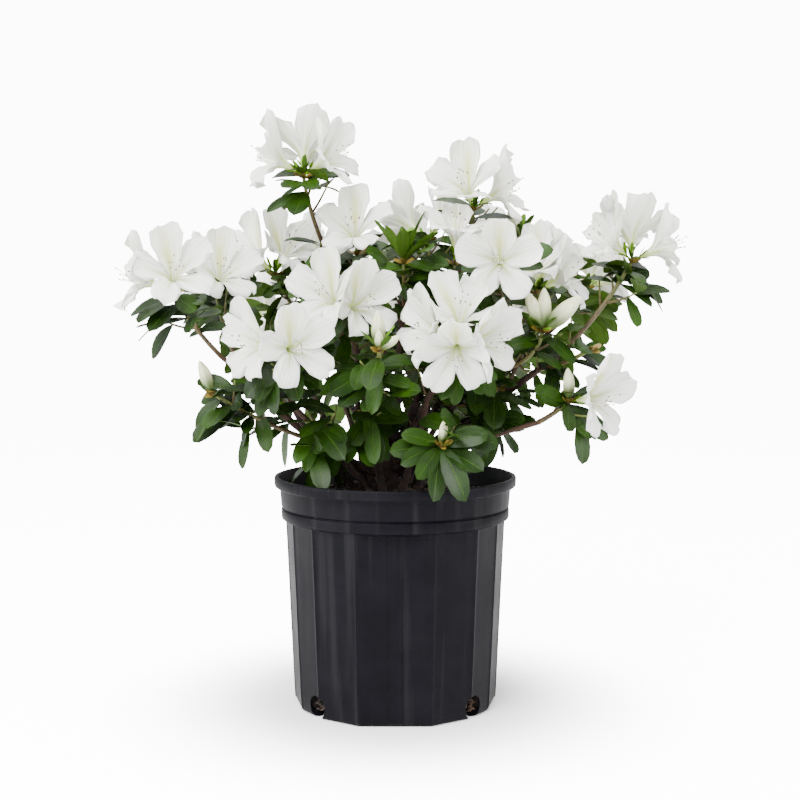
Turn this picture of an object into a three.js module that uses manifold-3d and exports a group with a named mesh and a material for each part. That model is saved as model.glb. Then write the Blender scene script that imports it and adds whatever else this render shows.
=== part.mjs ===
// A white-flowered azalea shrub in a black nursery pot, in millimetres.
// The origin is the middle of the pot's flat underside. +Z is up and -Y is the front.
// Directions are a turn and a rise in degrees: turn 0 is the front, 90 the right, 180 the back.
import * as THREE from "three";
import { mergeVertices } from "three/addons/utils/BufferGeometryUtils.js";
import Module from "manifold-3d";

const wasm = await Module();
wasm.setup();

const potHeight = 241;
const rimRadius = 127;
const wall = 1.8;
const floorThickness = 3;
const clearance = 0.3;
const soilTop = 228;
const soilEdge = 217;
const trunkTop = 262;
const trunkRadii = [13, 8.4];
const rootFlare = 9;
const drainRadius = 12;
const drainTurns = [-49, 49, -131, 131];
const drainLength = 40;
const drainSides = 8;

const bloomRadius = 43;
const bloomReach = 46;
const leafLength = 49;
const leafShare = 0.44;
const leafThickness = 1.8;
const leafSunk = 0.9;
const twigRadius = 1.3;
const stemRadii = [2.3, 1.7];
const heartRadius = 5;

// Sides and steps of each kind of limb.
const trunkMesh = [10, 5];
const boughMesh = [6, 3];
const stemMesh = [4, 2];
const twigMesh = [3, 2];

// Each limb leaves its parent a share of the way along, passes a point and ends at its tip.
const limb = (from, at, via, tip, radii) => ({ from, at, via, tip, radii });
const limbs = {
  bough_left: limb("trunk", 0.4, [-61, -15, 264], [-128, -30, 319], [5.6, 3.3]),
  bough_left_outer: limb("bough_left", 0.93, [-150, -38, 343], [-176, -45, 367], [2.9, 2.3]),
  bough_left_front: limb("bough_left", 0.7, [-104, -42, 315], [-110, -64, 340], [2.8, 2.2]),
  bough_left_back: limb("bough_left", 0.5, [-100, 25, 345], [-150, 55, 392], [3.1, 2.3]),
  bough_top_left: limb("trunk", 0.9, [-42, 22, 370], [-75, 2, 482], [5.2, 2.9]),
  bough_centre_left: limb("trunk", 0.75, [-30, -12, 325], [-40, -34, 378], [3.9, 2.6]),
  bough_centre: limb("trunk", 0.95, [2, 2, 345], [9, -30, 420], [3.8, 2.6]),
  bough_centre_front: limb("trunk", 0.7, [24, -32, 305], [45, -72, 350], [3.8, 2.6]),
  bough_front_low: limb("trunk", 0.45, [18, -44, 262], [34, -84, 275], [2.8, 2.1]),
  bough_top_right: limb("trunk", 0.85, [36, 24, 350], [70, 14, 462], [5.0, 2.9]),
  bough_right_mid: limb("trunk", 0.8, [58, -8, 330], [112, -38, 402], [4.2, 2.6]),
  bough_right_high: limb("bough_top_right", 0.45, [88, 45, 400], [118, 42, 446], [2.9, 2.2]),
  bough_right: limb("trunk", 0.5, [88, 8, 306], [176, -20, 374], [5.0, 2.9]),
  bough_right_low: limb("trunk", 0.3, [72, -42, 276], [142, -76, 303], [3.5, 2.3]),
  bough_right_back: limb("bough_right", 0.45, [120, 50, 345], [172, 72, 392], [3.1, 2.3]),
  bough_back: limb("trunk", 0.8, [4, 62, 330], [4, 120, 400], [4.4, 2.6]),
  bough_back_left: limb("trunk", 0.55, [-50, 66, 310], [-108, 138, 362], [4.2, 2.5]),
  bough_back_right: limb("trunk", 0.6, [52, 66, 312], [108, 134, 366], [4.2, 2.5]),
  bough_back_low: limb("bough_back", 0.4, [-8, 112, 334], [-12, 168, 362], [3.0, 2.2]),
};

// Each shoot has its heart, where flowers, buds and leaf whorl spring, and the way its stem leans there.
// A bloom is turn and rise, a bud is turn, rise and length, and whorl is leaves and the first leaf's angle.
const shoots = {
  truss_top_left: {
    from: "bough_top_left", heart: [-94, -20, 552], lean: [-30, 76],
    blooms: [[-80, 30], [180, 60], [66, 30]], whorl: [6, 20], twigs: 1,
  },
  truss_left: {
    from: "bough_left_outer", heart: [-223, -60, 433], lean: [-60, 62],
    blooms: [[-76, 25], [12, 36]], whorl: [5, 40], twigs: 2,
  },
  truss_left_rear: {
    from: "bough_left_outer", at: 0.55, heart: [-187, 2, 431], lean: [-20, 70],
    blooms: [[20, 40]], whorl: [5, 0], twigs: 1,
  },
  truss_behind_left: {
    from: "bough_top_left", at: 0.5, heart: [-130, 62, 452], lean: [-60, 70],
    blooms: [[-50, 34], [40, 52]], whorl: [5, 10], twigs: 1,
  },
  truss_front_left: {
    from: "bough_left_front", heart: [-108, -95, 376], lean: [-20, 50],
    blooms: [[-55, 14], [20, 8]], whorl: [5, 30], twigs: 2,
  },
  truss_centre_left: {
    from: "bough_centre_left", heart: [-53, -70, 413], lean: [0, 60],
    blooms: [[-25, 30], [35, 14]], whorl: [5, 25], twigs: 1,
  },
  truss_upper_centre: {
    from: "bough_top_left", at: 0.74, heart: [-40, -2, 474], lean: [10, 75],
    blooms: [[-5, 45]], whorl: [5, 50], twigs: 1,
  },
  leafy_centre: {
    from: "bough_centre", heart: [9, -56, 464], lean: [0, 80],
    whorl: [8, 15], twigs: 1,
  },
  buds_front: {
    from: "bough_centre_left", at: 0.5, heart: [-15, -132, 379], lean: [0, 50],
    buds: [[-10, 78, 38], [0, 52, 24], [62, 30, 26]], whorl: [7, 5], twigs: 1,
  },
  truss_top_right: {
    from: "bough_top_right", heart: [81, 0, 520], lean: [0, 76],
    blooms: [[-20, 40], [76, 30]], whorl: [6, 35], twigs: 1,
  },
  truss_behind_top: {
    from: "bough_top_right", at: 0.7, heart: [34, 62, 490], lean: [200, 74],
    blooms: [[-130, 30], [120, 45]], whorl: [5, 15], twigs: 1,
  },
  truss_upper_right: {
    from: "bough_top_right", at: 0.5, heart: [60, -35, 463], lean: [10, 70],
    blooms: [[20, 76]], whorl: [5, 5], twigs: 1,
  },
  truss_right_centre: {
    from: "bough_right_mid", heart: [104, -72, 461], lean: [0, 60],
    blooms: [[-5, 4]], whorl: [5, 45], twigs: 1,
  },
  buds_upper_right: {
    from: "bough_right_high", heart: [132, 30, 490], lean: [20, 80],
    buds: [[-50, 60, 34]], whorl: [6, 25], twigs: 0,
  },
  truss_right_inner: {
    from: "bough_right", at: 0.62, heart: [146, -15, 433], lean: [0, 75],
    blooms: [[-10, 60], [65, 30], [150, 55]], whorl: [5, 20], twigs: 1,
  },
  buds_right: {
    from: "bough_right_mid", at: 0.62, heart: [146, -88, 396], lean: [10, 60],
    buds: [[-62, 62, 42], [0, 82, 42], [82, 42, 50]], whorl: [6, 10], twigs: 1,
  },
  truss_right: {
    from: "bough_right", heart: [245, -10, 465], lean: [70, 62],
    blooms: [[-75, 40], [180, 70], [80, 25]], whorl: [7, 40], twigs: 2,
  },
  truss_right_low: {
    from: "bough_right_low", heart: [172, -90, 326], lean: [45, 40],
    blooms: [[48, 8]], buds: [[-20, 78, 34]], whorl: [5, 30], twigs: 2,
  },
  truss_front: {
    from: "bough_centre_front", heart: [61, -112, 385], lean: [5, 45],
    blooms: [[-5, -14], [50, 5], [5, 56], [-65, 20]], whorl: [5, 25], twigs: 1,
  },
  buds_front_low: {
    from: "bough_front_low", heart: [45, -120, 286], lean: [8, 34],
    buds: [[20, 72, 26]], whorl: [6, 22], twigs: 1,
  },
  buds_left_low: {
    from: "bough_left", at: 0.66, heart: [-184, -55, 331], lean: [-80, 35],
    buds: [[-80, 68, 36]], whorl: [6, 12], twigs: 2,
  },
  leafy_left_low: {
    from: "bough_left", at: 0.42, heart: [-80, -66, 300], lean: [-10, 20],
    whorl: [6, 10], twigs: 2,
  },
  leafy_centre_low: {
    from: "bough_centre_left", at: 0.3, heart: [-30, -72, 312], lean: [10, 30],
    whorl: [6, 40], twigs: 2,
  },
  leafy_right_inner: {
    from: "bough_right_mid", at: 0.4, heart: [104, -52, 336], lean: [30, 40],
    whorl: [6, 15], twigs: 2,
  },
  leafy_right_low: {
    from: "bough_right", at: 0.85, heart: [196, -66, 376], lean: [60, 30],
    whorl: [6, 0], twigs: 1,
  },
  truss_back_left: {
    from: "bough_left_back", heart: [-186, 92, 436], lean: [-110, 60],
    blooms: [[-90, 30], [-160, 25]], whorl: [5, 30], twigs: 1,
  },
  truss_back_left_low: {
    from: "bough_back_left", heart: [-152, 188, 392], lean: [-140, 45],
    blooms: [[-110, 20], [-165, 35]], whorl: [5, 10], twigs: 1,
  },
  truss_back_upper_left: {
    from: "bough_back_left", at: 0.6, heart: [-78, 138, 452], lean: [-160, 65],
    blooms: [[-120, 45], [170, 30]], whorl: [5, 50], twigs: 1,
  },
  truss_back_centre: {
    from: "bough_back", heart: [8, 158, 460], lean: [180, 60],
    blooms: [[-170, 30], [100, 45]], whorl: [5, 20], twigs: 1,
  },
  truss_back_low: {
    from: "bough_back_low", heart: [-22, 218, 386], lean: [180, 40],
    blooms: [[-150, 15], [160, 30]], buds: [[100, 50, 36]], whorl: [5, 35], twigs: 1,
  },
  truss_back_right_low: {
    from: "bough_back_right", heart: [118, 196, 392], lean: [150, 45],
    blooms: [[175, 20], [112, 25]], whorl: [5, 15], twigs: 1,
  },
  truss_back_upper_right: {
    from: "bough_back_right", at: 0.6, heart: [92, 122, 462], lean: [150, 65],
    blooms: [[130, 40], [60, 50]], whorl: [5, 0], twigs: 1,
  },
  truss_back_right: {
    from: "bough_right_back", heart: [210, 92, 436], lean: [110, 55],
    blooms: [[85, 25], [150, 30]], whorl: [5, 40], twigs: 1,
  },
};

const rad = THREE.MathUtils.degToRad;
const vec = (x, y, z) => new THREE.Vector3(x, y, z);
const mix = (a, b, share) => a + (b - a) * share;

// The unit vector of a turn and a rise.
function way(turn, rise) {
  const level = Math.cos(rad(rise));
  return vec(level * Math.sin(rad(turn)), -level * Math.cos(rad(turn)), Math.sin(rad(rise)));
}

// Two unit vectors square to an axis and to each other, the second one the more upright.
function square(axis) {
  const hint = Math.abs(axis.z) > 0.94 ? vec(0, 1, 0) : vec(0, 0, 1);
  const across = axis.clone().cross(hint).normalize();
  return [across, across.clone().cross(axis)];
}

// A repeatable stream of numbers from 0 to 1, so that a seed always grows the same shrub.
function seeded(seed) {
  let state = seed;
  return () => {
    state = (state * 1664525 + 1013904223) % 4294967296;
    return state / 4294967296;
  };
}

// A closed geometry as a solid, facing out whichever way its mapping turned it.
function solid(shape) {
  const bare = new THREE.BufferGeometry().setAttribute("position", shape.getAttribute("position"));
  bare.setIndex(shape.getIndex());
  const merged = mergeVertices(bare, 1e-4);
  const corners = merged.getIndex().array;
  const kept = [];
  for (let i = 0; i < corners.length; i += 3) {
    const [a, b, c] = corners.slice(i, i + 3);
    if (a !== b && b !== c && c !== a) kept.push(a, b, c);
  }
  const make = (faces) => {
    const vertProperties = merged.getAttribute("position").array;
    const mesh = new wasm.Mesh({ numProp: 3, vertProperties, triVerts: new Uint32Array(faces) });
    return new wasm.Manifold(mesh);
  };
  const made = make(kept);
  return made.volume() > 0 ? made : make(kept.toReversed());
}

// Moves each vertex of a geometry to where a rule puts it.
function remap(shape, rule) {
  const places = shape.getAttribute("position");
  const at = vec(0, 0, 0);
  for (let i = 0; i < places.count; i++) {
    at.fromBufferAttribute(places, i);
    const moved = rule(at);
    places.setXYZ(i, moved.x, moved.y, moved.z);
  }
  return shape;
}

const join = (pieces) => pieces.reduce((whole, piece) => whole.add(piece));

// The largest body of a solid, without loose scraps.
function largest(made) {
  return made.decompose().reduce((a, b) => (b.volume() > a.volume() ? b : a));
}

// The unit vector square to the plane that a bow lies in.
function bowNormal(curve) {
  const start = curve.getTangent(0);
  const normal = start.clone().cross(curve.getTangent(1));
  return normal.length() > 0.02 ? normal.normalize() : square(start)[0];
}

// A round limb along a bow, bent and tapered from a cylinder. Extra makes it fatter and longer.
function limbSolid(curve, radiusAt, [sides, steps], extra = 0) {
  const shape = new THREE.CylinderGeometry(1, 1, 1, sides, steps);
  const across = bowNormal(curve);
  return solid(
    remap(shape, (at) => {
      const share = at.y + 0.5;
      const middle = curve.getPoint(share);
      const tangent = curve.getTangent(share);
      const over = tangent.clone().cross(across);
      const radius = radiusAt(share) + extra * 1.3;
      middle.addScaledVector(across, at.x * radius).addScaledVector(over, at.z * radius);
      if (share < 0.001) middle.addScaledVector(tangent, -extra);
      if (share > 0.999) middle.addScaledVector(tangent, extra);
      return middle;
    }),
  );
}

// A bow through three points.
function bow(start, via, end) {
  const bend = via.clone().multiplyScalar(2).addScaledVector(start, -0.5).addScaledVector(end, -0.5);
  return new THREE.QuadraticBezierCurve3(start, bend, end);
}

// The pot's wall has flat panels between these turns, and is round at its rings.
const sideTurns = [20.3, 46, 65, 90, 115, 134, 159.7];
const panelTurns = [-20.3, ...sideTurns, ...sideTurns.map((turn) => turn + 180)];
const panelStep = 10.2;
const potRays = [];
for (let i = 0; i + 1 < panelTurns.length; i++) {
  const [from, to] = [panelTurns[i], panelTurns[i + 1]];
  const parts = Math.round((to - from) / panelStep);
  for (let j = 0; j < parts; j++) {
    const turn = mix(from, to, j / parts);
    const flatness = Math.cos(rad((to - from) / 2)) / Math.cos(rad(turn - (from + to) / 2));
    potRays.push({ turn, flatness });
  }
}

// Radius and height of the pot's outside, with 1 where the wall is panelled.
const footRadius = 106.6;
const shoulderRadius = 115.2;
const shoulderHeight = 196;
const outside = [
  [footRadius - 3, 0, 1], [footRadius, 3, 1], [shoulderRadius, shoulderHeight, 1],
  [119.6, 199, 0], [119.6, 207.6, 0], [117.8, 208.8, 0], [119.8, 210, 0], [121.2, 229, 0],
  [126.6, 231, 0], [rimRadius, potHeight, 0],
];
const inside = [
  [122.6, potHeight, 0], [119.4, 228, 0], [115.8, 208.6, 0], [shoulderRadius - wall, shoulderHeight, 1],
  [footRadius - wall, 8, 1], [footRadius - 8, floorThickness, 1],
];

function potSurface(profile) {
  const points = [new THREE.Vector2(0, profile[0][1])];
  profile.forEach(([radius, height]) => points.push(new THREE.Vector2(radius, height)));
  points.push(new THREE.Vector2(0, profile.at(-1)[1]));
  const shape = new THREE.LatheGeometry(points, potRays.length);
  const panelled = (radius, height) =>
    profile.some(([r, h, flat]) => flat && Math.abs(r - radius) < 0.01 && Math.abs(h - height) < 0.01);
  return remap(shape, (at) => {
    const radius = Math.hypot(at.x, at.z);
    const share = Math.atan2(at.x, at.z) / (2 * Math.PI);
    const ray = potRays[(Math.round(share * potRays.length) + potRays.length) % potRays.length];
    const reach = radius * (panelled(radius, at.y) ? ray.flatness : 1);
    return way(ray.turn, 0).multiplyScalar(reach).setZ(at.y);
  });
}

function makePot() {
  let pot = solid(potSurface([...outside, ...inside]));
  for (const turn of drainTurns) {
    const drill = new THREE.CylinderGeometry(drainRadius, drainRadius, drainLength, drainSides);
    drill.rotateZ(Math.PI / 2).rotateZ(rad(turn - 90));
    const middle = way(turn, 0).multiplyScalar(footRadius);
    drill.translate(middle.x, middle.y, drainRadius - 0.5);
    pot = pot.subtract(solid(drill));
  }
  return pot;
}

// The bark mix fills the pot a hair clear of its wall and rises to the stem.
function makeSoil() {
  const wallInside = inside.slice(2);
  const fill = wallInside.map(([radius, height, flat]) => [radius - clearance, height + clearance, flat]);
  const top = [[34, soilTop, 0], [116, soilEdge, 0]];
  return solid(potSurface([...top, ...fill]));
}

// The trunk flares into three root shoulders where it meets the soil, and is cut flat there.
const trunkCurve = bow(vec(-6, 0, soilTop - 4), vec(-6, 1, 246), vec(-2, 3, trunkTop));
function trunkRadius(share) {
  return mix(...trunkRadii, share) + rootFlare * (1 - share) ** 4;
}
function makeTrunk(extra) {
  const whole = limbSolid(trunkCurve, trunkRadius, trunkMesh, extra);
  return whole.trimByPlane([0, 0, 1], soilTop + clearance - extra);
}

const curves = { trunk: trunkCurve };
const radii = { trunk: trunkRadius };
for (const [name, { from, at, via, tip, radii: ends }] of Object.entries(limbs)) {
  curves[name] = bow(curves[from].getPoint(at), vec(...via), vec(...tip));
  radii[name] = (share) => mix(...ends, share);
}

// Boughs are cut clear of what they spring from and of the boughs beside them.
const limbSolids = { trunk: makeTrunk(0) };
let guarded = makeTrunk(clearance);
for (const name of Object.keys(limbs)) {
  const whole = limbSolid(curves[name], radii[name], boughMesh);
  limbSolids[name] = largest(whole.subtract(guarded));
  guarded = guarded.add(limbSolid(curves[name], radii[name], boughMesh, clearance));
}

// A leaf of eight faces: its root, two edges, its tip and the two sides of its midrib.
const ribShare = 0.3;
const widestShare = 0.55;
function leafSolid({ root, along, length, droop }, extra = 0) {
  const [side] = square(along);
  const face = side.clone().cross(along);
  const half = (length * leafShare) / 2 + extra;
  const thick = leafThickness / 2 + extra;
  const shape = new THREE.OctahedronGeometry(1);
  return solid(
    remap(shape, (at) => {
      const edgeShare = Math.abs(at.z) > 0.5 ? ribShare : widestShare;
      const share = at.x < -0.5 ? -leafSunk / length : at.x > 0.5 ? 1 : edgeShare;
      const place = root.clone().addScaledVector(along, length * share + extra * Math.sign(at.x));
      place.z -= droop * length * share * share;
      return place.addScaledVector(side, at.y * half).addScaledVector(face, at.z * thick);
    }),
  );
}

// A funnel of five lobes on a stalk: the rim runs valley, shoulder, tip, shoulder five times.
const rimSteps = [
  { turn: 36, radius: 0.36, height: 0.92 },
  { turn: 25, radius: 0.82, height: 1.06 },
  { turn: 0, radius: 1, height: 1.1 },
  { turn: -25, radius: 0.82, height: 1.06 },
];
const lobes = 5;
const throatRadius = 8;
const throatShare = 0.7;
const bloomSpin = rad(17);
function bloomSolid(heart, axis, index) {
  const [across, over] = square(axis).map((side) => side.applyAxisAngle(axis, bloomSpin * index));
  const points = [[0, -0.04], [throatRadius, throatShare], [bloomRadius, 1], [0, throatShare - 0.04]];
  const profile = points.map(([radius, height]) => new THREE.Vector2(radius, height * bloomReach));
  const rays = lobes * rimSteps.length;
  const shape = new THREE.LatheGeometry(profile, rays);
  return solid(
    remap(shape, (at) => {
      let radius = Math.hypot(at.x, at.z);
      let height = at.y;
      const ray = Math.round((Math.atan2(at.x, at.z) / (2 * Math.PI)) * rays) + rays;
      const middle = Math.floor(ray / rimSteps.length) * (360 / lobes);
      const place = ray % rimSteps.length;
      const valley = rimSteps[0].turn;
      let turn = middle + (place < 2 ? -valley : valley);
      if (radius > bloomRadius - 1) {
        turn = middle - rimSteps[place].turn;
        radius = bloomRadius * rimSteps[place].radius;
        height = bloomReach * rimSteps[place].height;
      }
      const out = heart.clone().addScaledVector(axis, height);
      out.addScaledVector(over, radius * Math.cos(rad(turn)));
      return out.addScaledVector(across, radius * Math.sin(rad(turn)));
    }),
  );
}

// A bud is a spindle whose lower end lies just behind the heart.
const budShare = 0.16;
const budMiddle = 0.46;
function budSolid(heart, axis, length) {
  const [across, over] = square(axis);
  const shape = new THREE.SphereGeometry(1, 5, 3);
  return solid(
    remap(shape, (at) => {
      const place = heart.clone().addScaledVector(axis, length * (budMiddle + at.y * (1 - budMiddle)));
      const half = length * budShare;
      return place.addScaledVector(across, at.x * half).addScaledVector(over, at.z * half);
    }),
  );
}

// The stem curve, blooms, buds and sites of one shoot, before it has twigs and leaves.
const stemBend = 0.45;
const stemSites = [0.75, 0.5, 0.3];
function startShoot(name, spec) {
  const start = curves[spec.from].getPoint(spec.at ?? 1);
  const heart = vec(...spec.heart);
  const lean = way(...spec.lean);
  const bend = heart.clone().addScaledVector(lean, -stemBend * heart.distanceTo(start));
  const curve = new THREE.QuadraticBezierCurve3(start, bend, heart);
  const stemRadius = (share) => mix(...stemRadii, share);
  const blooms = (spec.blooms ?? []).map(([turn, rise]) => way(turn, rise));
  const buds = (spec.buds ?? []).map(([turn, rise, length]) => ({ axis: way(turn, rise), length }));
  const centres = blooms.map((axis) => heart.clone().addScaledVector(axis, bloomReach));
  const sites = [heart, ...centres, ...stemSites.map((share) => curve.getPoint(share))];
  return { name, spec, heart, lean, curve, stemRadius, blooms, buds, centres, sites };
}

const plants = Object.entries(shoots).map(([name, spec]) => startShoot(name, spec));

// How far a point lies inside a shoot's own space: its side of the planes halfway to every other shoot.
function depthInSpace(point, plant) {
  const own = plant.sites.reduce((a, b) => (b.distanceTo(point) < a.distanceTo(point) ? b : a));
  let least = Infinity;
  for (const other of plants) {
    if (other === plant) continue;
    for (const site of other.sites) {
      const gap = site.distanceToSquared(point) - own.distanceToSquared(point);
      least = Math.min(least, gap / (2 * site.distanceTo(own)));
    }
  }
  return least;
}

// Cuts a bloom back to its side of the planes halfway to other blooms and to other shoots' hearts.
const rivalReach = 3 * bloomRadius;
function keepOwnSide(piece, centre, plant) {
  let kept = piece;
  for (const other of plants) {
    const rivals = other === plant ? plant.centres : [other.heart, ...other.centres];
    for (const site of rivals) {
      if (site === centre) continue;
      const apart = site.clone().sub(centre);
      const reach = apart.length();
      if (reach > rivalReach) continue;
      const normal = apart.divideScalar(reach);
      const offset = normal.dot(centre) + reach / 2 - clearance / 2;
      kept = kept.trimByPlane([-normal.x, -normal.y, -normal.z], -offset);
    }
  }
  return kept;
}

for (const plant of plants) {
  plant.stem = limbSolid(plant.curve, plant.stemRadius, stemMesh);
  plant.guardedStem = limbSolid(plant.curve, plant.stemRadius, stemMesh, clearance);
}
for (const plant of plants) {
  const others = plants.filter((other) => other !== plant);
  const stems = join(others.map((other) => other.guardedStem));
  const knob = remap(new THREE.OctahedronGeometry(heartRadius), (at) => at.clone().add(plant.heart));
  const pieces = [plant.stem, solid(knob)];
  plant.flowers = plant.blooms.map((axis, i) =>
    keepOwnSide(bloomSolid(plant.heart, axis, i), plant.centres[i], plant).subtract(stems),
  );
  pieces.push(...plant.flowers);
  plant.buds.forEach(({ axis, length }) => pieces.push(budSolid(plant.heart, axis, length)));
  plant.core = largest(join(pieces).subtract(guarded));
}

// The direction at an angle from an axis, at a turn round it.
function aside(axis, angle, round) {
  const [across, over] = square(axis);
  const out = across.multiplyScalar(Math.cos(rad(round))).addScaledVector(over, Math.sin(rad(round)));
  return axis.clone().multiplyScalar(Math.cos(rad(angle))).addScaledVector(out, Math.sin(rad(angle)));
}

// Turns a leaf back so that it runs below the flowers beside it and not through them.
const leafUnderBloom = rad(50);
function belowBlooms(along, blooms) {
  for (const axis of blooms) {
    if (along.angleTo(axis) >= leafUnderBloom) continue;
    const out = along.clone().addScaledVector(axis, -along.dot(axis)).normalize();
    along.copy(axis).multiplyScalar(Math.cos(leafUnderBloom)).addScaledVector(out, Math.sin(leafUnderBloom));
  }
  return along;
}

// Tips an upright leaf down, since grown leaves spread level below the flowers.
const highestRise = 0.38;
function laidBack(along) {
  if (along.z <= highestRise) return along;
  return vec(along.x, along.y, 0).setLength(Math.sqrt(1 - highestRise ** 2)).setZ(highestRise);
}

// Twigs and leaves by the seeded rule. Every number is drawn whether or not its leaf is kept.
// A rule gives ranges of angle from the stem, of length beside a full leaf, and of droop.
const goldenTurn = 137.5;
const whorlRule = { angle: [62, 84], size: [0.82, 1.14], droop: [0.04, 0.2] };
const lowerRule = { angle: [60, 88], size: [0.62, 0.86], droop: [0.05, 0.22] };
const twigLeafRule = { angle: [48, 74], size: [0.75, 1], droop: [0.04, 0.2] };
const lowerCount = 2;
const twigLeafCount = 3;
const twigRule = { share: [0.42, 0.62], angle: [48, 64], length: [26, 40], lift: 6, sag: vec(0, 0, -2) };
function growLeaves(plant, seed) {
  const draw = seeded(seed);
  const pick = (range) => mix(...range, draw());
  const [count, first] = plant.spec.whorl;
  const newLeaf = (root, aim, rule) => {
    const along = laidBack(aim);
    const length = leafLength * pick(rule.size);
    return { root, along, length, droop: pick(rule.droop) };
  };
  const leaves = [];
  const twigs = [];
  for (let i = 0; i < count; i++) {
    const share = 1 - 0.045 * i - 0.02 * draw();
    const aim = aside(plant.lean, pick(whorlRule.angle), first + i * goldenTurn + 14 * draw());
    leaves.push(newLeaf(plant.curve.getPoint(share), belowBlooms(aim, plant.blooms), whorlRule));
  }
  for (let i = 0; i < lowerCount; i++) {
    const share = 0.4 + 0.2 * i;
    const along = aside(plant.curve.getTangent(share), pick(lowerRule.angle), first + i * goldenTurn + 60);
    leaves.push(newLeaf(plant.curve.getPoint(share), along, lowerRule));
  }
  for (let i = 0; i < plant.spec.twigs; i++) {
    const share = pick(twigRule.share);
    const root = plant.curve.getPoint(share);
    const round = first + 80 + i * 170;
    const along = aside(plant.curve.getTangent(share), pick(twigRule.angle), round + 40 * draw());
    const tip = root.clone().addScaledVector(along, pick(twigRule.length));
    tip.z += twigRule.lift;
    const twig = { curve: bow(root, root.clone().lerp(tip, 0.5).add(twigRule.sag), tip), leaves: [] };
    const end = tip.clone().sub(root).normalize();
    for (let j = 0; j < twigLeafCount; j++) {
      const base = twig.curve.getPoint(1 - 0.14 * j);
      const blade = aside(end, pick(twigLeafRule.angle), first + j * 120 + 30 * draw());
      twig.leaves.push(newLeaf(base, blade, twigLeafRule));
    }
    twigs.push(twig);
  }
  return { leaves, twigs };
}

function fitsSpace(points, plant) {
  return points.every((point) => depthInSpace(point, plant) > clearance);
}

function leafPoints({ root, along, length, droop }) {
  const [side] = square(along);
  const middle = root.clone().addScaledVector(along, length * widestShare);
  middle.z -= droop * length * widestShare ** 2;
  const half = (length * leafShare) / 2;
  const tip = root.clone().addScaledVector(along, length);
  tip.z -= droop * length;
  return [middle.clone().addScaledVector(side, half), middle.addScaledVector(side, -half), tip];
}

// Fuses a shoot's leaves and twigs to its core, without those that leave its space, touch another
// shoot or a bough, or run through a flower by more than a sliver, in cubic millimetres.
const nearHearts = 230;
const mostShared = 15;
const twigChecks = [0.4, 0.7, 1];
function makeMass(plant, seed) {
  const { leaves, twigs } = growLeaves(plant, seed);
  const near = plants.filter((other) => other !== plant && other.heart.distanceTo(plant.heart) < nearHearts);
  const foreign = [guarded, ...near.map((other) => other.core)];
  const clear = (guard) => foreign.every((other) => guard.intersect(other).isEmpty());
  const shared = (blade) => plant.flowers.reduce((sum, flower) => sum + flower.intersect(blade).volume(), 0);
  const pieces = [plant.core];
  const addLeaf = (leaf) => {
    if (!fitsSpace(leafPoints(leaf), plant) || !clear(leafSolid(leaf, clearance))) return;
    const blade = leafSolid(leaf);
    if (shared(blade) < mostShared) pieces.push(blade);
  };
  leaves.forEach(addLeaf);
  for (const twig of twigs) {
    const points = twigChecks.map((share) => twig.curve.getPoint(share));
    const radius = () => twigRadius;
    if (!fitsSpace(points, plant) || !clear(limbSolid(twig.curve, radius, twigMesh, clearance))) continue;
    pieces.push(limbSolid(twig.curve, radius, twigMesh));
    twig.leaves.forEach(addLeaf);
  }
  return largest(join(pieces));
}

function meshOf(name, made, [color, roughness]) {
  const { vertProperties, triVerts } = made.getMesh();
  const shape = new THREE.BufferGeometry();
  shape.setAttribute("position", new THREE.BufferAttribute(vertProperties, 3));
  shape.setIndex(new THREE.BufferAttribute(triVerts, 1));
  shape.computeVertexNormals();
  const mesh = new THREE.Mesh(shape, new THREE.MeshStandardMaterial({ color, roughness, metalness: 0 }));
  mesh.name = name;
  return mesh;
}

const blackPlastic = [0x2b2b2e, 0.55];
const barkMix = [0x3a2618, 0.95];
const bark = [0x4a2f22, 0.85];
const foliage = [0x2f5a26, 0.5];
const petals = [0xf3f2ec, 0.6];

const shrub = new THREE.Group();
shrub.add(meshOf("pot", makePot(), blackPlastic));
shrub.add(meshOf("potting_mix", makeSoil(), barkMix));
for (const [name, made] of Object.entries(limbSolids)) shrub.add(meshOf(name, made, bark));
const firstSeed = 101;
plants.forEach((plant, i) => {
  const look = plant.blooms.length > 0 ? petals : foliage;
  shrub.add(meshOf(plant.name, makeMass(plant, firstSeed + i), look));
});

export default shrub;
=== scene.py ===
# %% [markdown]
# A flowering azalea shrub stands in a black nursery pot.
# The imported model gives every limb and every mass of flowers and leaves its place, so this script
# only grows finer things around it: bark, twigs, leaves, blossom, moulded plastic and bark chips.
# Everything is worked out in millimetres, the gardener's unit, and turned into metres once, when a
# shape becomes an object.

# %% Load the frame
import math

import bmesh
import bpy
import numpy as np
from mathutils import Matrix, Vector, noise


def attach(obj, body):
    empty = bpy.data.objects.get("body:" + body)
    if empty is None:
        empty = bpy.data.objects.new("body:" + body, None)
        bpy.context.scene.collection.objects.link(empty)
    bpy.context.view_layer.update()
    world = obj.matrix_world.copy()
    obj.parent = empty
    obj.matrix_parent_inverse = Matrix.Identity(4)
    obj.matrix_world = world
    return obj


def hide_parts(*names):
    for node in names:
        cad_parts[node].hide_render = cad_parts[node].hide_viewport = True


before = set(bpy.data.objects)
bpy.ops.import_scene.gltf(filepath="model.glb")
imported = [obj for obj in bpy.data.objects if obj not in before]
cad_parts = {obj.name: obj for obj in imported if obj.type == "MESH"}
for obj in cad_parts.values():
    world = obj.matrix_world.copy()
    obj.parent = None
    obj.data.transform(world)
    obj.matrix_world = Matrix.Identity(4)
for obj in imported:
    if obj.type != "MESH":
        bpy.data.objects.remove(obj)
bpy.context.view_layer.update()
MM = 0.001
print("frame nodes:", len(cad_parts))

# %% [markdown]
# The camera comes first, because it decides which details are worth making.
# In the photograph the rim shows as a thin ellipse and the pot's sides hardly converge: that is a
# portrait lens held a little above the crown's middle and tilted down a few degrees.

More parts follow.
